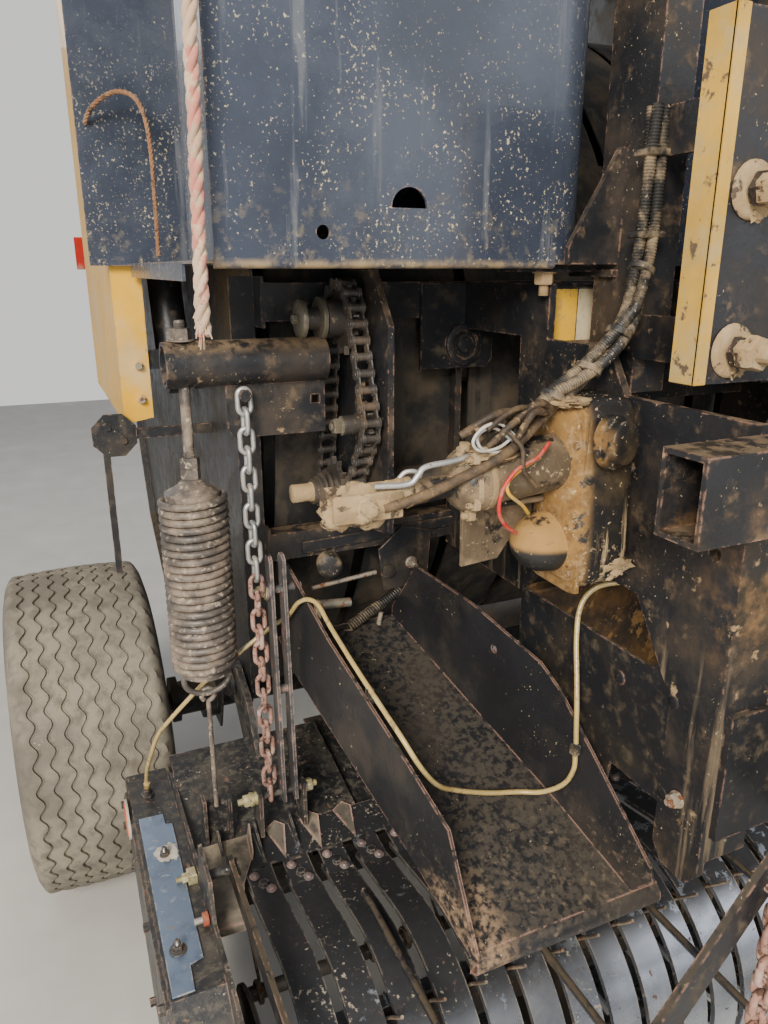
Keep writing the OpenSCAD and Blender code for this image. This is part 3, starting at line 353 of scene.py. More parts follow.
CASTING = finish("casting_mud_streaked", (0.018, 0.017, 0.017), 0.33, layers=(
    film((0.1, 0.066, 0.028), 0.25, 10, 0.7),
    streak((0.45, 0.32, 0.17), 0.22, 60, 0.95, None, (2, 1230, 1170)),
    patch((0.44, 0.31, 0.16), 0.22, 60, 0.95, None, (2, 1190, 1120)),
    patch((0.27, 0.145, 0.04), 0.96, 20, 0.92, None, (0, -308, -330)),
    film((0.12, 0.06, 0.02), 0.45, 40, 0.9, None, (0, -312, -324)),
    film((0.4, 0.27, 0.13), 0.2, 50, 0.9, None, (0, -312, -324)),
    specks((0.44, 0.33, 0.18), 0.12, 130, 0.9),
    edge((0.3, 0.26, 0.2), 0.4, 60, 0.5),
), bumps=((40, 1.4), (200, 0.6)))
MOTOR = finish("motor_half_muddy", (0.02, 0.019, 0.018), 0.4, layers=(
    specks((0.42, 0.31, 0.17), 0.2, 120, 0.9),
    patch((0.38, 0.215, 0.065), 0.93, 14, 0.92, None, (2, 1146, 1156)),
    patch((0.05, 0.035, 0.02), 0.1, 50, 0.7, None, (2, 1160, 1175)),
), bumps=((60, 0.9), (260, 0.5)))
MUD_TAN = finish("dried_mud", (0.33, 0.225, 0.115), 0.92, layers=(
    film((0.46, 0.35, 0.21), 0.4, 26, 0.95),
    patch((0.075, 0.05, 0.03), 0.18, 34, 0.75),
), bumps=((70, 2.2), (260, 0.9)))
MUDDY = finish("mud_over_black", (0.1, 0.07, 0.04), 0.7, layers=(
    film((0.3, 0.21, 0.12), 0.4, 16, 0.92),
    patch((0.016, 0.015, 0.016), 0.35, 14, 0.4),
    specks((0.4, 0.29, 0.16), 0.12, 150, 0.9),
), bumps=((60, 1.4), (260, 0.6)))
BELT = finish("belt_rubber", (0.02, 0.019, 0.018), 0.7, layers=(
    film((0.12, 0.088, 0.055), 0.35, 9, 0.9),
    streak((0.06, 0.048, 0.035), 0.35, 26, 0.8),
), bumps=((500, 0.3),))
TYRE = finish("tyre_dusty", (0.21, 0.185, 0.145), 0.9, layers=(
    film((0.31, 0.27, 0.205), 0.6, 7, 0.95),
    film((0.13, 0.115, 0.095), 0.3, 30, 0.9),
    specks((0.4, 0.36, 0.29), 0.05, 150, 0.95),
), bumps=((70, 0.8), (420, 0.4)))
CHROME = finish("rod_chrome", (0.7, 0.7, 0.71), 0.12, 1.0,
    layers=(film(DUST, 0.12, 20, 0.7, 0.0),), vary=0.04)
GUARD_YELLOW = finish("driveline_guard", (0.66, 0.46, 0.04), 0.5, layers=(
    film(DUST, 0.45, 10, 0.85),
    up(DUST, 0.7, 30, 0.9),
), bumps=((120, 0.3),), vary=0.08)
HOSE = finish("clear_hose", (0.46, 0.33, 0.12), 0.26, layers=(
    film((0.56, 0.44, 0.2), 0.35, 30, 0.35),
    patch((0.28, 0.2, 0.09), 0.2, 50, 0.5),
), bumps=((300, 0.1),), coat=0.4)
LOOM = finish("loom_black", (0.02, 0.019, 0.018), 0.55, layers=(
    film(DUST, 0.4, 24, 0.85),
    specks((0.33, 0.25, 0.16), 0.1, 180, 0.9),
), bumps=((300, 0.3),))
BRANCH = finish("branch_brown", (0.045, 0.03, 0.018), 0.6, layers=(
    film((0.19, 0.12, 0.06), 0.5, 30, 0.9),
    patch((0.3, 0.2, 0.1), 0.15, 70, 0.9),
), bumps=((260, 0.6),))
ROPE = finish("rope_faded", (0.56, 0.38, 0.25), 0.9, layers=(
    film((0.62, 0.49, 0.31), 0.5, 14, 0.95),
    patch((0.58, 0.22, 0.16), 0.4, 26, 0.9),
    specks((0.3, 0.22, 0.15), 0.1, 220, 0.95),
), bumps=((700, 0.6),), sheen=0.3)
ROPE_RUST = finish("rope_rusty", (0.26, 0.12, 0.055), 0.9, layers=(
    film((0.4, 0.23, 0.12), 0.4, 30, 0.95),
    patch((0.09, 0.05, 0.03), 0.3, 60, 0.95),
), bumps=((700, 0.5),), sheen=0.2)
LAMP = finish("lamp_red", (0.5, 0.02, 0.015), 0.2,
    layers=(film(DUST, 0.25, 14, 0.7),), vary=0.1, coat=0.6)
BOLT = finish("bolt_zinc", (0.4, 0.37, 0.31), 0.42, 0.7, layers=(
    film((0.3, 0.2, 0.11), 0.4, 40, 0.8, 0.1),
    patch(RUST, 0.3, 90, 0.8, 0.0),
), bumps=((300, 0.2),))
TINE = finish("tine_wire", (0.2, 0.16, 0.12), 0.5, 0.5, layers=(
    film((0.4, 0.3, 0.2), 0.4, 40, 0.8, 0.0), patch(RUST, 0.2, 70, 0.8, 0.0)), bumps=((300, 0.2),))
PLATE_WORN = finish("worn_blue_plate", (0.2, 0.26, 0.36), 0.36, 0.6, layers=(
    film((0.1, 0.13, 0.19), 0.45, 14, 0.5, 0.5),
    patch((0.27, 0.2, 0.14), 0.04, 26, 0.8, 0.0),
    streak((0.33, 0.38, 0.45), 0.15, 50, 0.35, 0.7),
    edge((0.55, 0.5, 0.45), 0.6, 60, 0.4, 0.5)), bumps=((200, 0.15),))
PALE_SMEAR = finish("pale_smear", (0.52, 0.47, 0.38), 0.85, layers=(
    film((0.62, 0.58, 0.5), 0.5, 40, 0.9),), bumps=((200, 0.5),))
YELLOW_ZINC = finish("bolt_yellow_zinc", (0.5, 0.43, 0.22), 0.4, 0.6, layers=(
    film((0.55, 0.5, 0.36), 0.4, 60, 0.7, 0.1),
    patch((0.22, 0.13, 0.07), 0.12, 90, 0.8, 0.0)), bumps=((300, 0.2),))
RUST_RED = finish("rust_red", (0.3, 0.065, 0.03), 0.75, layers=(
    film((0.4, 0.16, 0.09), 0.4, 50, 0.8),), bumps=((260, 0.4),))
FITTING = finish("fitting_orange", (0.7, 0.14, 0.02), 0.4, layers=(film(DUST, 0.3, 60, 0.8),), vary=0.08)
REFLECTOR = finish("reflector_orange", (0.78, 0.13, 0.03), 0.25, layers=(
    film(DUST, 0.2, 30, 0.7),), bumps=((700, 0.3),), vary=0.06, coat=0.5)
EDGE_YELLOW = finish("edge_yellow_worn", (0.55, 0.33, 0.055), 0.5, layers=(
    film((0.42, 0.32, 0.16), 0.35, 16, 0.8), patch((0.12, 0.08, 0.05), 0.12, 40, 0.8)), bumps=((160, 0.3),))
BRASSY = finish("hub_brassy", (0.2, 0.175, 0.125), 0.42, 0.6, layers=(
    film((0.12, 0.09, 0.06), 0.4, 50, 0.7, 0.1),
    edge((0.4, 0.36, 0.28), 0.6, 60, 0.4, 0.7)), bumps=((200, 0.3),))
SIGN_YELLOW = finish("sign_yellow_field", (0.74, 0.42, 0.03), 0.4, layers=(
    film((0.4, 0.27, 0.1), 0.3, 30, 0.7), specks((0.3, 0.2, 0.1), 0.06, 160, 0.8)), vary=0.06)
SIGN_PALE = finish("sign_pale_field", (0.6, 0.5, 0.32), 0.45, layers=(
    film((0.42, 0.32, 0.18), 0.3, 30, 0.7), specks((0.3, 0.2, 0.1), 0.06, 160, 0.8)), vary=0.06)
MUD_WALL = finish("muddy_wall", (0.035, 0.024, 0.016), 0.7, layers=(
    film((0.2, 0.105, 0.035), 0.6, 12, 0.9), patch((0.3, 0.17, 0.06), 0.2, 22, 0.95),
    specks((0.42, 0.3, 0.17), 0.05, 150, 0.9)), bumps=((60, 1.6), (260, 0.6)))
SCREW_RUST = finish("screw_rust", (0.2, 0.155, 0.15), 0.45, 0.5, layers=(
    film((0.33, 0.2, 0.17), 0.5, 50, 0.7, 0.1),
    edge((0.5, 0.45, 0.42), 0.6, 60, 0.4, 0.6)), bumps=((260, 0.3),))
DUSTY_SHEET = finish("dusty_sheet", (0.13, 0.11, 0.085), 0.7, layers=(
    film((0.36, 0.29, 0.2), 0.45, 14, 0.9), film((0.035, 0.033, 0.034), 0.3, 20, 0.45),
    edge((0.5, 0.3, 0.24), 0.8, 40, 0.6)), bumps=((90, 0.6), (380, 0.3)))

NODE_FINISH = {
    FRAME_INNER_SHADED: ("body_walls",),
    FRAME: ("axle", "tongue", "jack_outer", "wind_guard",
            "gate_frame", "barrel_right", "barrel_left", "lamp_bracket"),
    DECK: ("pickup_frame", "drive_box"),
    TROUGH: ("chute",),
    LINKS_STEEL: ("lift_links",),
    FRAME_MUDDY: ("main_frame",),
    COVER_PAINTED_SHEEN: ("twine_box_right", "twine_box_left"),
    YELLOW: ("shield_right", "shield_left"),
    RIM: ("rim_right", "rim_left"),
    BAND: ("stripper_bands",),
    OILY: ("drive_sprockets", "drive_chain", "gearbox", "pickup_reel", "front_rollers", "gate_rollers"),
    MUDDY: ("wrap_actuator",),
    BELT: ("front_belts", "gate_belts"),
    CHROME: ("rod_right", "rod_left"),
    ZINC: ("jack_inner",),
    GUARD_YELLOW: ("pto_shaft",),
    HOSE: ("oil_line", "oil_feed"),
    LOOM: ("wire_loom",),
    LAMP: ("tail_lamps",),
    RUST_CHAIN: ("safety_chain", "lift_chain_right", "lift_chain_left"),
    TYRE: ("tyre_right", "tyre_left"),
    SPRING: ("float_spring_right", "float_spring_left"),
    ROPE: ("hanging_rope",),
    ROPE_RUST: ("tie_rope",),
}


def paint_nodes():
    for material, names in NODE_FINISH.items():
        for name in names:
            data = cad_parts[name].data
            data.materials.clear()
            data.materials.append(material)


# mesh pieces


class Shape:
    """Vertices and faces of one piece, in millimetres."""

    def __init__(self):
        self.verts, self.faces = [], []

    def add(self, verts, faces, matrix=None):
        start = len(self.verts)
        self.verts += [matrix @ Vector(v) if matrix else Vector(v) for v in verts]
        self.faces += [[start + i for i in f] for f in faces]

    def rings(self, rings, closed=False, caps=True):
        """Skin over rings of equal length, each a closed loop of points."""
        n, m = len(rings[0]), len(rings)
        verts = [p for ring in rings for p in ring]
        faces = []
        for i in range(m if closed else m - 1):
            a, b = i * n, ((i + 1) % m) * n
            faces += [[a + k, a + (k + 1) % n, b + (k + 1) % n, b + k] for k in range(n)]
        if caps and not closed:
            faces += [list(range(n))[::-1], [(m - 1) * n + k for k in range(n)]]
        self.add(verts, faces)

    def tube(self, path, radius, sides=10, closed=False, radii=None):
        path = [Vector(p) for p in path]
        rings = []
        for i, (p, u, w) in enumerate(carried(path, closed)):
            r = radii[i] if radii else radius
            rings.append([p + r * (math.cos(TAU * k / sides) * u + math.sin(TAU * k / sides) * w)
                          for k in range(sides)])
        self.rings(rings, closed)

    def lathe(self, profile, at, along, sides=24):
        """profile: (distance along, radius) pairs, the ends closed."""
        along = Vector(along).normalized()
        u = along.orthogonal().normalized()
        w = along.cross(u)
        at = Vector(at)
        self.rings([[at + d * along + r * (math.cos(TAU * k / sides) * u + math.sin(TAU * k / sides) * w)
                     for k in range(sides)] for d, r in profile])

    def prism(self, outline, matrix, depth, bevel=0.6):
        """Plate of an outline in x and y, its edges bevelled, depth along z."""
        inner = inset(outline, bevel)
        layers = [(inner, 0), (outline, bevel), (outline, depth - bevel), (inner, depth)]
        self.rings([[matrix @ Vector((x, y, z)) for x, y in loop] for loop, z in layers])

    def block(self, low, high, bevel=1.5):
        (x0, y0, z0), (x1, y1, z1) = low, high
        self.prism([(x0, y0), (x1, y0), (x1, y1), (x0, y1)], Matrix.Translation((0, 0, z0)), z1 - z0, bevel)

    def bolt(self, at, along, across=17, stub=0, washer=0.0):
        """Hexagon head or nut on a washer, with a threaded stub, standing off a face."""
        along = Vector(along).normalized()
        u = along.orthogonal().normalized()
        w = along.cross(u)
        at = Vector(at)
        lift = 0
        if washer:
            self.lathe([(0, washer * 0.97), (0.4, washer), (2.2, washer), (2.6, washer * 0.96)], at, along)
            lift = 2.6
        r, h = across / math.sqrt(3), across * 0.6
        spin = (at.x * 0.7 + at.z) % 1.0

        def ring(radius, d, n=6):
            return [at + (lift + d) * along + radius * (math.cos(TAU * (k + spin) / n) * u
                    + math.sin(TAU * (k + spin) / n) * w) for k in range(n)]
        self.rings([ring(r, 0), ring(r, h * 0.82), ring(r * 0.9, h)])
        if stub:
            d, step = across * 0.3, 1.6
            turns = max(2, int(stub / step))
            profile = [(lift + h - 0.5, d)]
            for i in range(turns):
                profile += [(lift + h + i * step, d * 0.88), (lift + h + (i + 0.5) * step, d)]
            self.lathe(profile + [(lift + h + stub, d * 0.8)], at, along, 12)

    def make(self, name, material, slot, angle=38, body="chassis", replaces=()):
        data = bpy.data.meshes.new(name)
        data.from_pydata([v * MM for v in self.verts], [], self.faces)
        data.update()
        obj = bpy.data.objects.new(name, data)
        scene.collection.objects.link(obj)
        data.materials.append(material)
        data.shade_smooth()
        data.set_sharp_from_angle(angle=math.radians(angle))
        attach(obj, body)
        if replaces:
            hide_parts(*replaces)
        return obj


def carried(path, closed=False):
    """(point, u, w) along a path, the frame carried without twist."""
    n, out, u = len(path), [], None
    for i, p in enumerate(path):
        before = path[(i - 1) % n] if closed or i else p
        after = path[(i + 1) % n] if closed or i < n - 1 else p
        t = (after - before).normalized()
        if u is None:
            u = t.orthogonal().normalized()
        u = (u - u.dot(t) * t).normalized()
        out.append((p, u, t.cross(u)))
    return out


def facing(y):
    """Places an outline of x and z upright, its rear face at y and its depth forward."""
    return Matrix(((1, 0, 0, 0), (0, 0, -1, y), (0, 1, 0, 0), (0, 0, 0, 1)))


def inset(outline, d):
    """The outline moved inward by d; the outline runs anticlockwise."""
    n, out = len(outline), []
    for i in range(n):
        a, b, c = (Vector(outline[(i + k) % n]) for k in (-1, 0, 1))
        e, f = (b - a).normalized(), (c - b).normalized()
        p, q = Vector((-e.y, e.x)), Vector((-f.y, f.x))
        m = (p + q).normalized()
        out.append(tuple(b + m * d / max(0.35, m.dot(p))))
    return out


def smooth(points, per=8):
    """Catmull-Rom curve through the points."""
    pts = [Vector(p) for p in points]
    pts = [2 * pts[0] - pts[1]] + pts + [2 * pts[-1] - pts[-2]]
    out = []
    for i in range(1, len(pts) - 2):
        a, b, c, d = pts[i - 1: i + 3]
        for k in range(per):
            t = k / per
            out.append(0.5 * (2 * b + (c - a) * t + (2 * a - 5 * b + 4 * c - d) * t * t
                              + (3 * b - a - 3 * c + d) * t ** 3))
    return out + [pts[-2]]


def length(points):
    return sum((Vector(b) - Vector(a)).length for a, b in zip(points, points[1:]))


def mirrored(shape):
    out = Shape()
    out.add([(-v.x, v.y, v.z) for v in shape.verts], [f[::-1] for f in shape.faces])
    return out


SIDES = {"right": -1, "left": 1}
LEFT, RIGHT, FRONT, UP = (1, 0, 0), (-1, 0, 0), (0, -1, 0), (0, 0, 1)


def seen(px, py, y=None, z=None):
    """Point on the plane of that y or z that the photograph's pixel looks at."""
    p, q = math.radians(CAMERA_PITCH), math.radians(CAMERA_YAW)
    u, v = px - 384, py - 512
    ahead, down = LENS_PIXELS * math.cos(p) - v * math.sin(p), LENS_PIXELS * math.sin(p) + v * math.cos(p)
    ray = Vector((u * math.cos(q) + ahead * math.sin(q), -u * math.sin(q) + ahead * math.cos(q), -down))
    at = Vector(CAMERA_AT) / MM
    return at + ray * ((y - at.y) / ray.y if z is None else (z - at.z) / ray.z)


def seen_route(pixels, y=None):
    """Points that a list of pixels looks at, on one plane or each on its own (third value)."""
    return [seen(*p) if y is None else seen(*p, y) for p in pixels]


def loft(shape, levels, squareness=4, n=36):
    """Skin over rounded rectangles: (z, centre x, centre y, half width, half depth)."""
    rings = []
    for z, cx, cy, a, b in levels:
        ring = []
        for k in range(n):
            c, d = math.cos(TAU * k / n), math.sin(TAU * k / n)
            r = (abs(c) ** squareness + abs(d) ** squareness) ** (-1 / squareness)
            ring.append((cx + a * r * c, cy + b * r * d, z))
        rings.append(ring)
    shape.rings(rings)


def lump(shape, centre, radii, seed=0, rough=0.22, n=20):
    """Irregular clod, a ball pushed about by noise."""
    rings = []
    for i in range(1, n):
        t = math.pi * i / n
        ring = []
        for k in range(n):
            d = Vector((math.sin(t) * math.cos(TAU * k / n), math.sin(t) * math.sin(TAU * k / n),
                        math.cos(t)))
            coarse, fine = noise.noise(d * 2.2 + Vector((seed, seed * 2, 0))), noise.noise(d * 6)
            r = 1 + rough * coarse + rough * 0.5 * fine
            ring.append(Vector(centre) + Vector((d.x * radii[0], d.y * radii[1], d.z * radii[2])) * r)
        rings.append(ring)
    shape.rings(rings)


# cords: the routes are the CAD's

ROPE_ROUTE = [(-722, 89.7, 2218), (-722, 84, 2218), (-727, 73, 2213), (-736, 66, 2199), (-744, 62, 2178),
              (-747, 60, 2140), (-747, 60, 2000), (-746, 60, 1800), (-748, 60, 1740), (-750, 60, 1650),
              (-753, 60, 1550), (-756, 60, 1427)]
ROPE_D = 17
TIE_ROUTE = [(-802, 795.7, 1758), (-802, 790, 1758), (-799, 779, 1767), (-790, 765, 1780),
             (-772, 750, 1794), (-748, 736, 1803), (-724, 722, 1796), (-710, 710, 1772),
             (-704, 703, 1735), (-702, 700, 1680), (-703, 700, 1600), (-704, 700, 1524)]
TIE_D = 9


def strands(shape, path, radius, count, pitch, loose=0.0, seed=1, fray=0.0):
    """Strands laid round a path, fraying towards its far end."""
    rnd = random.Random(seed)
    line = carried(path)
    total = length(path)
    for s in range(count):
        run, pts, wobble = 0.0, [], rnd.uniform(0, TAU)
        for i, (p, u, w) in enumerate(line):
            if i:
                run += (path[i] - path[i - 1]).length
            a = TAU * (s / count + run / pitch)
            spread = 1 + fray * max(0.0, run / total - 0.9) * 10
            r = radius * 0.46 * spread * (1 + loose * math.sin(run * 0.05 + wobble))
            pts.append(p + r * (math.cos(a) * u + math.sin(a) * w))
        shape.tube(pts, radius * 0.56, 7)


def make_rope():
    path = smooth(ROPE_ROUTE, 14)
    rope = Shape()
    strands(rope, path, ROPE_D / 2, 3, 62, 0.05, 4, 0.5)
    rnd = random.Random(9)
    frayed = Shape()
    for i in range(18):
        d = Vector((rnd.uniform(-1, 1), rnd.uniform(-1, 1), 0)) * 7
        foot = path[-1] + Vector((0, 0, rnd.uniform(2, 40)))
        frayed.tube([foot + d * 0.4, foot + d + Vector((0, 0, -10)),
                     foot + d * 1.5 + Vector((0, 0, -rnd.uniform(16, 24)))], 0.9, 5)
    frayed.make("hanging_rope_fray", ROPE, "rope_pink", 60)
    obj = rope.make("hanging_rope_strands", ROPE, "rope_pink", 60, replaces=("hanging_rope",))
    length(path) * MM
    path = smooth(TIE_ROUTE, 10)
    tie = Shape()
    strands(tie, path, TIE_D / 2, 3, 26, 0.0, 7)
    obj = tie.make("tie_rope_strands", ROPE_RUST, "rope_rust", 60, replaces=("tie_rope",))
    length(path) * MM


# tyres with zig-zag ribs

TYRE_AT = (920, 1040, 394)
TYRE_R, TYRE_W, RIM_R = 394, 330, 190
GROOVES = (-118, -84, -50, -17, 17, 50, 84, 118)
ZIG_STEPS, ZIG_COUNT = 8, 44


def tread_section():
    """(across, radius, share of the zig-zag) from one bead to the other."""
    half = TYRE_W / 2
    side = [(-124, RIM_R + 1, 0), (-137, RIM_R + 15, 0), (-150, 232, 0), (-half + 1, 272, 0),
            (-half, 300, 0), (-half + 1.5, 334, 0), (-half + 8, 362, 0), (-148, 378, 0.2), (-138, 386, 0.6)]
    crown = []
    for x in GROOVES:
        top = TYRE_R - 0.00042 * x * x
        low = top - 6.5
        crown += [(x - 11, top - 0.3, 1), (x - 3.6, top - 0.6, 1), (x - 2.4, low, 1), (x + 2.4, low, 1),
                  (x + 3.6, top - 0.6, 1), (x + 11, top - 0.3, 1)]
    right = [(-x, r, z) for x, r, z in reversed(side)]
    inside = [(118, RIM_R + 1, 0), (0, RIM_R + 1, 0), (-118, RIM_R + 1, 0)]
    return side + crown + right + inside


def make_tyres():
    section = tread_section()
    steps = ZIG_STEPS * ZIG_COUNT
    for name, sign in SIDES.items():
        shape, rings = Shape(), []
        centre = Vector((sign * TYRE_AT[0], TYRE_AT[1], TYRE_AT[2]))
        for k in range(steps):
            phase = k % ZIG_STEPS / ZIG_STEPS
            zig = 7.0 * math.sin(TAU * phase)
            a = TAU * k / steps
            out = Vector((0, math.cos(a), math.sin(a)))
            ring = []
            for x, r, share in section:
                notch = -7 if abs(abs(x) - 148) < 1 and phase < 0.3 else 0
                wear = 1.1 * noise.noise(Vector((x * 0.02, math.cos(a) * 6, math.sin(a) * 6)))
                ring.append(centre + Vector((x + zig * share, 0, 0)) + out * (r + notch + min(0.0, wear)))
            rings.append(ring)
        shape.rings(rings, closed=True)
        shape.make(f"tyre_tread_{name}", TYRE, "tyre_rubber", 30, body=f"wheel_{name}",
                   replaces=(f"tyre_{name}",))


# float springs, wound as one wire

SPRING_AT = (-741, 310)
COIL_R, WIRE_R, TURNS = 48.3, 6.0, 23
COIL_LOW, COIL_HIGH = 872, 1163
ARM_TOP = 1400


def spring_shape():
    x, y = SPRING_AT
    shape, path, steps = Shape(), [], 26
    for i in range(TURNS * steps + 1):
        a = TAU * i / steps
        path.append((x + COIL_R * math.cos(a), y + COIL_R * math.sin(a),
                     COIL_LOW + (COIL_HIGH - COIL_LOW) * i / (TURNS * steps)))
    shape.tube(path, WIRE_R, 9)
    # screwed plugs, adjusting rod with its nuts, lower loop and strap
    shape.lathe([(860, 30), (862, 43), (880, 43), (882, 30)], (x, y, 0), UP)
    shape.lathe([(1146, 30), (1150, 43), (1172, 43), (1182, 24), (1192, 14)], (x, y, 0), UP)
    rod = [(1180, 8.5)]
    for i in range(26):
        rod += [(1186 + i * 2.2, 7.6), (1187.1 + i * 2.2, 8.5)]
    rod += [(1250, 8.2), (1385, 8.2)]
    for i in range(18):
        rod += [(1388 + i * 2.2, 7.6), (1389.1 + i * 2.2, 8.5)]
    shape.lathe(rod + [(1430, 7)], (x, y, 0), UP, 14)
    shape.bolt((x, y, 1193), UP, 27)
    shape.bolt((x, y, 1210), UP, 27)
    shape.bolt((x, y, ARM_TOP), UP, 27, 0, 20)
    loop = [(x + 38 * math.cos(a), y - 4, 850 + 30 * math.sin(a)) for a in
            (TAU * (0.25 + 0.94 * k / 30) for k in range(31))]
    shape.tube([(x, y, 876)] + loop, 5.0, 9)
    eye = [(x + 11 * math.cos(a), y, 815 + 12 * math.sin(a)) for a in
           (TAU * (k / 18 - 0.25) for k in range(17))]
    shape.tube([(x, y, 590), (x, y, 796)] + eye, 4.2, 9)
    return shape


def make_springs():
    for name, sign in SIDES.items():
        shape = spring_shape() if sign < 0 else mirrored(spring_shape())
        obj = shape.make(f"float_coils_{name}", SPRING, "dark_steel", 50, replaces=(f"float_spring_{name}",))
        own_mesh(obj)


# lift chains of welded links

LINKS, LINK_PITCH, LINK_L, LINK_W, LINK_D = 24, 30.4, 39, 20, 8
CHAIN_TOP = 1328.8


def link_path(steps=10):
    """A welded link standing in x and z, from its lower end."""
    r, out = LINK_W / 2, []
    for base, start in ((LINK_L - r, 0.0), (r, math.pi)):
        out += [Vector((r * math.cos(start + math.pi * k / steps), 0,
                        base + r * math.sin(start + math.pi * k / steps)))
                for k in range(steps + 1)]
    return out


def make_lift_chains():
    for name, sign in SIDES.items():
        upper, lower = Shape(), Shape()
        for i in range(LINKS):
            at = Vector((-657 + 9 * i / LINKS, 288, CHAIN_TOP - LINK_L - LINK_PITCH * i))
            turn = Matrix.Rotation(math.radians(90 * (i % 2) + 6 * math.sin(i * 2.1)), 3, "Z")
            path = [at + turn @ p for p in link_path()]
            (upper if i < 10 else lower).tube(path, LINK_D / 2, 9, closed=True)
        for part, shape, material, slot in (("upper", upper, ZINC, "zinc_chain"),
                                            ("lower", lower, RUST_CHAIN, "rust_chain")):
            obj = (shape if sign < 0 else mirrored(shape)).make(
                f"lift_links_{part}_{name}", material, slot, 60, replaces=(f"lift_chain_{name}",))
            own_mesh(obj)


# hoses and wires that clips hold all the way

LINE_ROUTE = [(-842, 485, 536.2), (-842, 485, 546), (-842, 476, 566), (-840, 456, 600), (-834, 432, 640),
              (-820, 402, 700),
              (-800, 378, 740), (-772, 356, 782), (-738, 342, 822), (-700, 336, 852), (-660, 334, 880),
              (-626, 333, 902), (-600, 330, 917), (-593, 316, 928), (-594, 292, 948), (-588, 272, 971),
              (-577, 252, 983), (-566, 234, 978), (-559, 205, 956), (-549, 140, 924), (-537, 60, 890),
              (-526, 0, 862), (-508, -26, 824), (-478, -22, 782), (-440, -9, 752), (-380, -6, 726),
              (-330, -14, 718), (-300, -36, 724), (-280, -60, 748), (-272, -72, 780), (-271.5, -72, 812)]
FEED_ROUTE = [(-271.5, -72, 826.6), (-272, -70, 852), (-268, -62, 884), (-258, -44, 925), (-246, -22, 972),
              (-232, -8, 1014), (-212, -10, 1040), (-186, -26, 1052), (-150, -48, 1052), (-90, -90, 1040),
              (-40, -125, 1018), (0, -142, 1008), (50, -136, 1010), (110, -104, 1028), (160, -66, 1050),
              (192, -40, 1064), (207, -24, 1074)]
LOOM_ROUTE = [(-172, -6, 1700), (-172, -6, 1620), (-172, -6, 1540), (-178, -8, 1490), (-190, -14, 1450),
              (-212, -26, 1430), (-240, -38, 1408), (-270, -46, 1386), (-300, -52, 1368), (-332, -57, 1352),
              (-358, -58, 1338), (-376, -59, 1316)]


# routes in the photograph: pixel x, pixel y, and the y of the plane that it is taken on
LOOSE_BRANCH = [(506, 430, -100), (522, 448, -112), (524, 470, -116), (536, 486, -108)]
WIRES = (
    ("wire_red", (0.52, 0.02, 0.02), 2.6, [
        [(549, 443, -100), (537, 458, -112), (517, 470, -116), (503, 490, -116), (499, 512, -114),
         (506, 526, -108), (516, 533, -100)]]),
    ("wire_yellow", (0.72, 0.4, 0.02), 2.4, [
        [(540, 457, -106), (520, 470, -113), (508, 482, -116), (509, 494, -116), (522, 505, -110),
         (528, 513, -98)]]),
    ("wire_white", (0.62, 0.6, 0.54), 1.9, [
        [(520, 440, -88), (500, 424, -100), (483, 428, -108), (473, 442, -108), (480, 451, -104),
         (498, 448, -98), (512, 438, -90)],
        [(516, 444, -86), (494, 428, -96), (478, 436, -100), (482, 449, -100), (500, 452, -94),
         (514, 444, -86)]]),
)


def make_lines():
    line = Shape()
    line.tube(smooth(LINE_ROUTE, 5), 4, 10)
    line.lathe([(0, 4.6), (1, 6.5), (14, 6.5), (15, 4.4)], (-842, 485, 537), (0, -0.25, 1), 6)
    line.make("oil_line_tube", HOSE, "line_clear", 60, body="pickup", replaces=("oil_line",))
    ties = Shape()
    for a, b in (((-569.7, 236, 950), (-561, 246, 984)), ((-545, 78, 874), (-533, 88, 901)),
                 ((-278, -78, 806), (-266.8, -66, 826))):
        ties.block(a, b, 2)
    ties.make("oil_line_clips", LOOM, "loom_black", body="pickup")
    feed = Shape()
    feed.tube(smooth(FEED_ROUTE, 6), 4, 10)
    feed.block((200, -30, 1070), (219, -14, 1088), 2)
    obj = feed.make("oil_feed_tube", HOSE, "line_clear", 60, replaces=("oil_feed",))
    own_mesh(obj)


def corrugated(shape, path, radius, pitch=3.4):
    """Split conduit: a tube whose radius rises and falls along its path."""
    out, run, radii = [], 0.0, []
    dense = smooth(path, 40)
    last = dense[0]
    for p in dense:
        run += (p - last).length
        last = p
        if not out or run >= pitch / 2:
            out.append(p)
            radii.append(radius if len(out) % 2 else radius * 0.86)
            run = 0.0
    shape.tube(out, radius, 12, radii=radii)


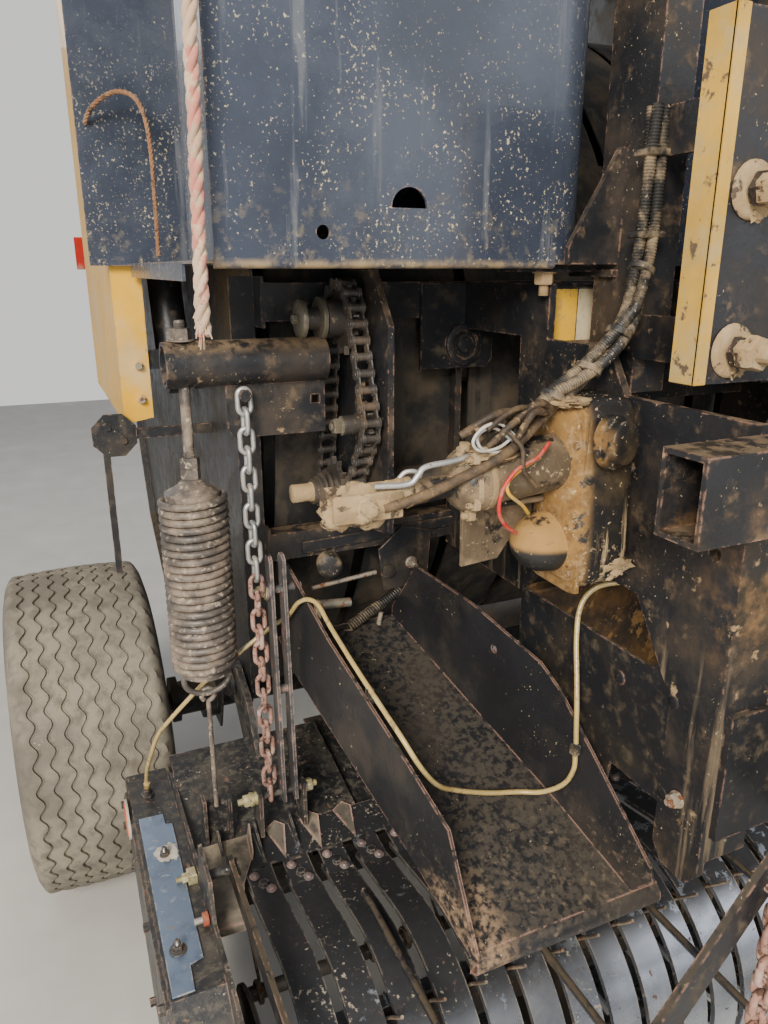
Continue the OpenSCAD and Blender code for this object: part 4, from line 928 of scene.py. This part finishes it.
def make_loom():
    loom = Shape()
    frames = carried(smooth(LOOM_ROUTE, 10))
    for s in range(3):
        route = []
        for k, (p, u, w) in enumerate(frames):
            a = TAU * (s / 3 + k / 150)
            route.append(p + 9 * (math.cos(a) * u + math.sin(a) * w))
        corrugated(loom, route[::5] + [route[-1]], 8)
    for z in (1640, 1540):
        loom.block((-190, -22, z), (-154, 12, z + 9), 2)
    for p in ((-176, -7, 1500), (-226, -32, 1419), (-286, -49, 1377), (-345, -57, 1346)):
        loom.lathe([(-5, 16), (-4, 18.4), (4, 18.4), (5, 16)], p, (0.45, 0.12, 0.85), 16)
    loom.make("wire_loom_conduit", LOOM, "loom_black", 50, replaces=("wire_loom",))
    # taped branches over the actuator
    branch = Shape()
    rnd = random.Random(12)
    for i in range(9):
        a = Vector((-350 - 9 * i, -62 + rnd.uniform(-20, 12), 1330 + rnd.uniform(-12, 8)))
        b = a + Vector((-rnd.uniform(30, 95), rnd.uniform(-30, 6), -rnd.uniform(4, 30)))
        mid = (a + b) / 2 + Vector((rnd.uniform(-12, 12), rnd.uniform(-18, 5), rnd.uniform(2, 20)))
        branch.tube(smooth([a, mid, b], 8), rnd.uniform(3.0, 6.5), 8)
    branch.tube(smooth([(-352, -66, 1332), (-400, -88, 1310), (-440, -98, 1288), (-500, -92, 1262),
                        (-552, -88, 1244), (-590, -82, 1236)], 8), 6.5, 9)
    branch.tube(smooth(seen_route(LOOSE_BRANCH), 8), 3, 8)
    branch.make("wire_branches", BRANCH, "loom_black", 50)


def make_wires():
    for name, colour, radius, routes in WIRES:
        wire = Shape()
        for route in routes:
            wire.tube(smooth(seen_route(route), 9), radius, 8)
        paint = finish(name, colour, 0.45, layers=(
            film(DUST, 0.35, 50, 0.8),), bumps=((400, 0.1),), vary=0.06)
        wire.make(name, paint, "loom_black", 60)


# wrap actuator: casting, motor, tube with clamp, muddy clevis

CLAMP_EYE = (462, 466, -70)  # pixel x, pixel y, plane


def make_actuator():
    casting = Shape()
    loft(casting, [(1096, -288, -66, 26, 30), (1100, -288, -66, 40, 42), (1112, -289, -64, 49, 52),
                   (1150, -290, -62, 51, 56), (1230, -291, -60, 52, 55), (1290, -290, -58, 53, 52),
                   (1322, -288, -56, 52, 48), (1340, -285, -54, 46, 42), (1346, -282, -52, 30, 30)])
    # seam flange round the casting, with its screws
    loft(casting, [(1090, -326, -63, 3, 40), (1094, -326, -63, 5, 50), (1330, -326, -57, 5, 50),
                   (1336, -326, -57, 3, 40)], 6)
    for y, z in ((-108, 1120), (-110, 1200), (-106, 1290), (-14, 1120), (-12, 1290)):
        casting.bolt((-332, y + (6 if y < -60 else -6), z), RIGHT, 10)
    casting.lathe([(0, 30), (2, 34), (12, 34), (14, 27), (26, 27), (28, 20)], (-300, -116, 1296),
                  (0.3, -1, 0.1), 26)
    casting.make("actuator_casting", CASTING, "mud_housing", 50, replaces=("wrap_actuator",))
    motor = Shape()
    motor.lathe([(0, 40), (8, 41), (10, 43.5), (18, 43.5), (20, 41), (103, 41), (121, 38.5), (136, 31),
                 (147, 20), (152, 8), (153.5, 1)], (-240, -60, 1150), (-1, 0, 0.03), 40)
    motor.make("actuator_motor", MOTOR, "mud_housing", 50)
    tube = Shape()
    along = Vector((-1, 0, -0.094)).normalized()
    start = Vector((-300, -60, 1266))
    tube.lathe([(0, 34), (4, 37), (110, 37), (112, 36.5), (142, 36.5), (144, 39.5), (176, 39.5),
                (182, 36), (190, 28), (195, 15), (298, 15)], start, along, 36)
    tube.make("actuator_tube", MUDDY, "mud_housing", 50)
    clamp = Shape()
    for d, r in ((146, 41), (166, 41)):
        clamp.lathe([(d, r - 3), (d + 1, r), (d + 7, r), (d + 8, r - 3)], start, along, 36)
    at = start + along * 160
    for y, z in ((-38, 34), (-44, -22), (-30, -38), (-10, 42)):
        clamp.bolt(at + Vector((-12, y * 0.8, z)), RIGHT, 14, 7)
    clamp.lathe([(0, 8), (2, 10), (16, 10), (18, 7), (30, 7), (31, 4)], seen(*CLAMP_EYE), (0, -0.2, 1), 12)
    clamp.make("actuator_clamp", MUD_TAN, "mud_housing", 50)
    # flat bracket under the tube back to the plate
    bracket = Shape()
    plate = [(-450, 1212), (-448, 1118), (-392, 1122), (-372, 1150), (-340, 1150), (-340, 1216)]
    bracket.prism(plate, facing(-14), 7, 1)
    bracket.block((-442, -52, 1206), (-344, -8, 1214), 2)
    bracket.make("actuator_bracket", MUDDY, "mud_housing")
    fork = Shape()
    lump(fork, (-604, -60, 1236), (46, 26, 25), 3, 0.35)
    lump(fork, (-560, -62, 1246), (30, 17, 17), 8, 0.3)
    lump(fork, (-640, -58, 1228), (20, 17, 19), 5, 0.4)
    fork.block((-652, -84, 1222), (-566, -78, 1256), 2)
    fork.block((-652, -42, 1222), (-566, -36, 1256), 2)
    fork.bolt((-612, -84, 1240), FRONT, 18, 8, 13)
    fork.make("actuator_fork", MUD_TAN, "mud_housing", 60)
    rod = Shape()
    rod.tube(smooth([(-600, -78, 1262), (-560, -84, 1262), (-548, -86, 1272), (-538, -86, 1281),
                     (-500, -84, 1284), (-460, -80, 1290)], 6), 3.6, 9)
    rod.tube(smooth([(-560, -58, 1262), (-552, -60, 1270), (-540, -62, 1270), (-532, -60, 1262)], 6), 3, 8)
    rod.make("actuator_rod", ZINC, "worn_steel", 60)
    slab = Shape()
    lump(slab, (-268, -112, 1122), (22, 7, 14), 11, 0.8)
    lump(slab, (-330, -70, 1340), (24, 26, 7), 13, 0.6)
    lump(slab, (-452, -84, 1286), (30, 16, 10), 17, 0.6)
    slab.make("actuator_mud", MUD_TAN, "mud_housing", 60)


# tined reel: tube, discs, bars and wound double tines

REEL_Y, REEL_Z, BAR_R, TIP_R, BAND_PITCH, BANDS = 0, 315, 118, 268, 66, 22


def make_reel():
    core = Shape()
    core.lathe([(0, 18), (1, 20), (15, 20), (15.5, 30), (1575, 30), (1575.5, 20), (1589, 20), (1590, 18)],
               (-795, REEL_Y, REEL_Z), LEFT, 30)
    for x in (-760, -262, 260, 758):
        core.lathe([(-4, 40), (-4, 136), (-3, 138), (3, 138), (4, 136), (4, 40)], (x, REEL_Y, REEL_Z),
                   LEFT, 48)
        for k in range(8):
            a = TAU * (k + 0.5) / 8
            core.bolt((x - 4, REEL_Y + 60 * math.cos(a), REEL_Z + 60 * math.sin(a)), RIGHT, 14)
    tines = Shape()
    for k in range(4):
        a = TAU * (k + 0.35) / 4
        out, on = Vector((0, math.cos(a), math.sin(a))), Vector((0, -math.sin(a), math.cos(a)))
        bar = Vector((0, REEL_Y, REEL_Z)) + BAR_R * out
        core.lathe([(-760, 11), (-759, 12), (759, 12), (760, 11)], bar, LEFT, 16)
        for i in range(-11, 12):
            x = i * BAND_PITCH
            path = []
            for j in range(25):
                t = TAU * 2.25 * j / 24
                coil = 17 * (math.cos(t) * -on + math.sin(t) * out)
                path.append(bar + Vector((x - 9 + 8 * j / 24, 0, 0)) + coil)
            end = path[-1]
            for d, bend in ((0.3, 0), (0.62, 5), (0.85, 11), (1.0, 14)):
                path.append(Vector((x, end.y, end.z)) + out * (TIP_R - BAR_R - 17) * d + on * bend)
            tines.tube(path, 2.7, 6)
            tines.block(bar + Vector((x - 16, -9, -9)), bar + Vector((x - 10, 9, 9)), 1)
    core.make("reel_core", OILY, "dark_steel", 40, body="reel", replaces=("pickup_reel",))
    tines.make("reel_tines", TINE, "dark_steel", 60, body="reel")


# drive-box top: worn cover plate, nuts, fitting, reflector


BOX_TOP = 521
FOOT_BOLT = (288, 600.4)


def make_box_top():
    plate = Shape()
    plate.prism([(-872, 14), (-840, 14), (-838, 60), (-818, 66), (-812, 380), (-824, 384), (-824, 414),
                 (-868, 416)], Matrix.Translation((0, 0, BOX_TOP)), 3, 0.7)
    plate.make("box_top_plate", PLATE_WORN, "worn_steel", body="pickup")
    nuts = Shape()
    nuts.bolt((-838, 301, BOX_TOP + 3), UP, 15, 9)
    nuts.bolt((-851, 92, BOX_TOP + 3), UP, 15, 9, 13)
    nuts.lathe([(0, 11), (1, 13), (4, 13), (5, 9)], (-842, 485, BOX_TOP), UP, 6)
    nuts.make("box_top_nuts", OILY, "dark_steel", body="pickup")
    smear = Shape()
    lump(smear, (-834, 304, BOX_TOP + 3), (17, 21, 2.2), 4, 0.7)
    smear.make("box_top_smear", PALE_SMEAR, "frame_black", 60, body="pickup")
    side = Shape()
    side.bolt((-812, 227, 530), RIGHT, 15, 10)
    side.block((-812, 216, BOX_TOP), (-797, 238, 540), 1.5)
    side.make("box_side_bolt", YELLOW_ZINC, "zinc_chain", body="pickup")
    red = Shape()
    red.lathe([(0, 8), (1, 11), (9, 11), (10, 8)], (-797, 126, 532), RIGHT, 14)
    red.make("box_side_boss", RUST_RED, "rust_chain", body="pickup")
    pin = Shape()
    pin.lathe([(9, 4), (10, 5), (22, 5), (23, 4)], (-797, 126, 532), RIGHT, 12)
    pin.make("box_side_pin", ZINC, "zinc_chain", body="pickup")
    cap = Shape()
    cap.lathe([(0, 6), (0.5, 7), (5, 7), (8, 5), (12, 4.6)], (-842, 485, 525), UP, 16)
    cap.make("oil_fitting_collar", FITTING, "line_clear", body="pickup")
    disc, rim = Shape(), Shape()
    disc.lathe([(0, 30), (1.5, 33), (4, 32), (5, 28)], (-883.5, 478, 483), RIGHT, 36)
    rim.lathe([(0, 36), (1, 38), (4.5, 38), (5.2, 36.5), (5.2, 33)], (-881, 478, 483), RIGHT, 36)
    disc.make("reflector_lens", REFLECTOR, "lamp_red", 50, body="pickup")
    rim.make("reflector_rim", PALE_SMEAR, "frame_black", 50, body="pickup")
    for name, sign in SIDES.items():
        foot = Shape()
        y, z = FOOT_BOLT
        foot.bolt((sign * 683, y, z), (sign, 0, 0), 20, 10, 13)
        foot.lathe([(0, 11), (0.6, 12), (3, 12), (3.4, 10.5), (6.4, 10.5), (7, 12.4), (10, 12.4)],
                   (sign * 673, y, z), (sign, 0, 0), 20)
        foot.bolt((sign * 585, y, z), (-sign, 0, 0), 20, 9, 12)
        foot.bolt((sign * 634, 308, 986), (sign, 0, 0), 19, 8, 15)
        foot.make(f"chain_foot_bolt_{name}", YELLOW_ZINC, "zinc_chain", body="pickup")


def strip_top(y):
    return 502 + (y - 150) * 16 / 150


def make_band_screws():
    screws, stops = Shape(), Shape()
    for i in range(BANDS):
        x = BAND_PITCH * (i - (BANDS - 1) / 2)
        for dx, y in ((-11, 206), (9, 172)):
            z = strip_top(y) + 0.5
            screws.lathe([(-1, 8), (0.6, 9), (1.6, 8.6), (2.2, 6.4), (5.4, 5.6), (6.2, 4)],
                         (x + dx, y, z), (0, -0.1, 1), 14)
        stops.block((x - 12, 216, z + 1), (x + 12, 224, z + 5), 1.2)
    screws.make("band_screws", SCREW_RUST, "worn_steel", 50, body="pickup")
    stops.make("band_stops", DECK, "worn_steel", 50, body="pickup")


def sheet(shape, corners, thick):
    """Thin plate through corners that lie nearly in one plane."""
    corners = [Vector(c) for c in corners]
    arms = [c - corners[0] for c in corners[1:]]
    normal = sum((a.cross(b) for a, b in zip(arms, arms[1:])), Vector()).normalized()
    shape.rings([corners, [c + normal * thick for c in corners]])


def make_aprons():
    for name, sign in SIDES.items():
        apron, gussets = Shape(), Shape()

        def put(shape, corners, thick=2.5):
            corners = [(-sign * x, y, z) for x, y, z in corners]
            sheet(shape, corners if sign < 0 else corners[::-1], thick)
        put(apron, [(-786, 296, 519), (-786, 120, 507), (-742, 118, 507), (-724, 196, 509),
                    (-700, 240, 513), (-694, 296, 520)])
        put(apron, [(-742, 118, 509), (-742, 116, 494), (-786, 118, 494), (-786, 120, 509)])
        put(apron, [(-700, 240, 514), (-694, 296, 521), (-690, 296, 545), (-696, 250, 522)])
        for x in (-640, -574, -508):
            put(gussets, [(x - 20, 298, 519), (x - 2, 222, 510), (x + 18, 298, 519), (x - 1, 299, 533)], 1.5)
        apron.make(f"pickup_apron_{name}", DUSTY_SHEET, "frame_black", body="pickup")
        gussets.make(f"pickup_gussets_{name}", DUSTY_SHEET, "frame_black", body="pickup")


# loose hardware of the chassis

BEARING_EYE = (464, 344, 366)  # pixel x, pixel y, plane


def make_hardware():
    muddy, plain = Shape(), Shape()
    for x in (-190, 190):
        for z in (1409, 1584):
            muddy.lathe([(0, 30), (1.5, 32), (4, 31), (6, 25)], (x, -186, z), FRONT, 22)
            muddy.bolt((x, -208, z), FRONT, 37, 24)
            lump(muddy, (x + 8, -190, z - 20), (14, 5, 12), z, 0.5)
    muddy.bolt((-240, 124, 1507), UP, 24, 0, 17)
    muddy.bolt((-240, 124, 1497), (0, 0, -1), 26, 16, 18)
    lump(muddy, (-240, 122, 1520), (15, 14, 7), 2, 0.5)
    muddy.make("muddy_bolts", MUD_TAN, "mud_housing", 50)
    for x in (-1, 1):
        for z in (1240, 1310):
            plain.bolt((x * 746, 812, z), FRONT, 13)
        plain.bolt((x * 240, -90, 1250), (x, 0, 0), 16)
        for y, z in ((-240, 1179), (-240, 800)):
            plain.bolt((x * 231, y + 6, z + 30), (x, 0, 0), 18, 6, 12)
    plain.make("plate_bolts", BOLT, "dark_steel", 50)
    angle = Shape()
    angle.block((-245, -188, 1371), (-241, -150, 1760), 0.8)
    angle.block((-245, -190, 1371), (-228, -186, 1760), 0.8)
    angle.make("front_plate_edge", EDGE_YELLOW, "shield_yellow")
    # sprocket hub washers and bolts
    hub = Shape()
    hub.lathe([(0, 27), (1, 30), (7, 30), (9, 28.5), (10, 22), (11, 12)], (-552, 310, 1427), RIGHT, 36)
    hub.bolt((-562, 310, 1427), RIGHT, 14)
    hub.lathe([(0, 30), (1.5, 33), (8, 33), (9, 30)], (-520, 310, 1427), RIGHT, 36)
    hub.bolt((-520, 232.4, 1271), RIGHT, 22, 4, 15)
    hub.make("hub_washers", BRASSY, "dark_steel", 50)
    stub = Shape()
    stub.lathe([(0, 14), (2, 16), (30, 15.4), (34, 17.5), (40, 17.5), (42, 15.6)], (-567, 358, 1134),
               LEFT, 22)
    stub.make("shaft_stub_dust", MUD_TAN, "dark_steel", 50)
    rings = Shape()
    for x, r in ((-522, 26), (-514, 31), (-506, 36)):
        rings.lathe([(0, r - 4), (0.8, r), (4.4, r), (5.2, r - 4)], (x, 358, 1134), LEFT, 32)
    rings.make("shaft_rings", OILY, "dark_steel", 50)
    # bearing plate behind the drive, and its boss
    boss = Shape()
    p = seen(*BEARING_EYE)
    plate = [(-318, 1330), (-184, 1330), (-172, 1345), (-172, 1478), (-318, 1478)]
    boss.prism(plate, facing(377), 8, 1)
    boss.lathe([(0, 34), (2, 36), (8, 36), (10, 30), (10, 26), (6, 24), (6, 17), (11, 15), (12, 8)],
               (p.x, 370, p.z), FRONT, 36)
    boss.make("drive_bearing_plate", FRAME, "frame_black", 40)


# linkage behind the trough: its points in the photograph, on planes in front of LINKAGE_Y

LINKAGE_Y = 400
STRAP_ENDS = ((302, 548), (462, 516))
PLATE_CORNERS = ((381, 588), (424, 580), (428, 528), (400, 524), (376, 548))
PLATE_BOSS, PLATE_BOLT, KNOB = (388, 571), (411, 562), (333, 566)
RODS = ((((312, 588), (376, 572)), 4, 4.5, 8), (((316, 605), (350, 602)), 8, 9, 14))
LEVER = ((381, 612), (379, 626), (385, 640), (391, 652), (392, 664))
SPRING_HOOK = ((409, 574), (408, 584))
SPRING_FROM, SPRING_TO = (400, 590), (350, 626)
SPRING_TURNS, SPRING_STEPS = 24, 14


def make_linkage():
    """Strap, slotted plate with its bolt, rods, lever, knob and spring."""
    y = LINKAGE_Y
    link = Shape()
    a, b = seen_route(STRAP_ENDS, y)
    link.prism([(a.x, a.z - 10), (b.x, b.z - 12), (b.x, b.z + 6), (a.x, a.z + 12)], facing(y), 6, 1)
    link.prism([(v.x, v.z) for v in seen_route(PLATE_CORNERS, y)], facing(y - 7), 6, 1)
    link.lathe([(0, 9), (1, 13), (5, 13), (6, 8)], seen(*PLATE_BOSS, y - 14), FRONT, 16)
    link.make("linkage_plates", FRAME_CLEAN, "frame_black", 40)
    shiny = Shape()
    v = seen(*PLATE_BOLT, y - 14)
    shiny.bolt((v.x, y - 13, v.z), FRONT, 15, 14, 12)
    for ends, ahead, radius, sides in RODS:
        shiny.tube(seen_route(ends, y - ahead), radius, sides)
    shiny.tube(smooth(seen_route(LEVER, y - 16), 5), 5, 8)
    shiny.make("linkage_rods", BOLT, "worn_steel", 50)
    knob = Shape()
    k = seen(*KNOB, y - 28)
    knob.lathe([(0, 20), (2, 23), (26, 23), (29, 20), (30, 16), (31, 4)], (k.x, y - 4, k.z),
               (-0.25, -1, 0), 28)
    knob.make("linkage_knob", LOOM, "loom_black", 50)
    spring, path = Shape(), []
    a, b = seen(*SPRING_FROM, y - 12), seen(*SPRING_TO, y - 20)
    along = (b - a).normalized()
    u = along.orthogonal().normalized()
    w = along.cross(u)
    for i in range(SPRING_TURNS * SPRING_STEPS + 1):
        t = i / (SPRING_TURNS * SPRING_STEPS)
        turn = TAU * SPRING_TURNS * t
        path.append(a + (b - a) * t + 9 * (math.cos(turn) * u + math.sin(turn) * w))
    hook = seen_route(SPRING_HOOK, y - 10)
    spring.tube(hook + path + [b + along * 14], 1.9, 6)
    obj = spring.make("linkage_spring", LOOM, "dark_steel", 60)
    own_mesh(obj)


GUARD_X, GUARD_THICK = 229.5, 5.5
GUARD_SIDE = [(-214, 800), (-100, 800), (-92, 742), (150, 742), (150, 988), (-156, 988), (-162, 990),
              (-214, 1040)]


def make_throat_guard():
    """Bare plates between the frame legs: a side plate on each leg and a muddy back plate."""
    sides, back = Shape(), Shape()
    for x in (-GUARD_X, GUARD_X - GUARD_THICK):
        upright = Matrix(((0, 0, 1, x), (1, 0, 0, 0), (0, 1, 0, 0), (0, 0, 0, 1)))
        sides.prism(GUARD_SIDE, upright, GUARD_THICK, 0.8)
    for x in (-1, 1):
        for y, z in ((-104, 944), (-207, 960), (-207, 820)):
            sides.lathe([(-0.5, 8), (0.4, 10), (1.6, 9), (2.6, 5)], (x * GUARD_X, y, z), (x, 0, 0), 16)
    back.block((-223.9, 144, 742), (223.9, 150, 988), 0.8)
    back.block((-223.9, 120, 982), (223.9, 144, 988), 0.8)
    sides.make("throat_guard_sides", FRAME, "frame_black", 40)
    back.make("throat_guard_back", MUD_WALL, "mud_housing", 40)


def make_signs():
    """Blank sign on the front panel: yellow and white fields in a dark border."""
    for name, material, (x0, x1, z0, z1, d) in (
            ("sign_border", LOOM, (-217, -98, 1376, 1474, 0.5)),
            ("sign_yellow", SIGN_YELLOW, (-215, -158, 1378.5, 1471.5, 0.9)),
            ("sign_pale", SIGN_PALE, (-156, -100, 1378.5, 1471.5, 0.9))):
        sign = Shape()
        sign.prism([(x0, z0), (x1, z0), (x1, z1), (x0, z1)], facing(150), d, 0.15)
        sign.make(name, material, "shield_yellow")


def make_knot():
    knot = Shape()
    for i, z in enumerate((2120, 2137, 2154, 2171)):
        x = -747 + 0.05 * (z - 2120)
        path = []
        for k in range(18):
            a = TAU * k / 18
            path.append((x + 14 * math.cos(a), 60.5 + 14 * math.sin(a), z + 5 * math.sin(a + i)))
        knot.tube(path, 8.5, 8, closed=True)
    knot.make("rope_knot", ROPE, "rope_pink", 60)


def make_floor():
    floor = Shape()
    floor.block((-9000, -9000, -60), (9000, 9000, -0.5), 5)
    data = bpy.data.meshes.new("floor")
    data.from_pydata([v * MM for v in floor.verts], [], floor.faces)
    obj = bpy.data.objects.new("floor", data)
    scene.collection.objects.link(obj)
    data.materials.append(finish("pale_floor", (0.6, 0.58, 0.54), 0.85, layers=(
        film((0.66, 0.64, 0.6), 0.4, 1.5, 0.9),), bumps=((3, 1.0),), vary=0.04))


make_camera()
make_rope()
make_world()
area_light("key", (-3.2, -3.4, 3.6), (-0.3, 0.3, 1.0), (1.7, 1.7), 430, (1.0, 0.93, 0.82))
area_light("fill", (2.6, -3.6, 2.6), (0, 0.4, 1.0), (3, 3), 36, (0.95, 0.97, 1.0))
area_light("doorway", (-1.9, -3.6, 1.7), (-0.5, 0.1, 1.5), (0.6, 2.6), 42, (0.9, 0.95, 1.0))
area_light("back", (-1.5, 4.6, 4.2), (0, 1, 1.2), (3, 3), 45)
paint_nodes()
make_tyres()
make_springs()
make_lift_chains()
make_lines()
make_loom()
make_wires()
make_actuator()
make_reel()
make_box_top()
make_hardware()
make_linkage()
make_signs()
make_knot()
make_band_screws()
make_aprons()
make_throat_guard()
make_floor()
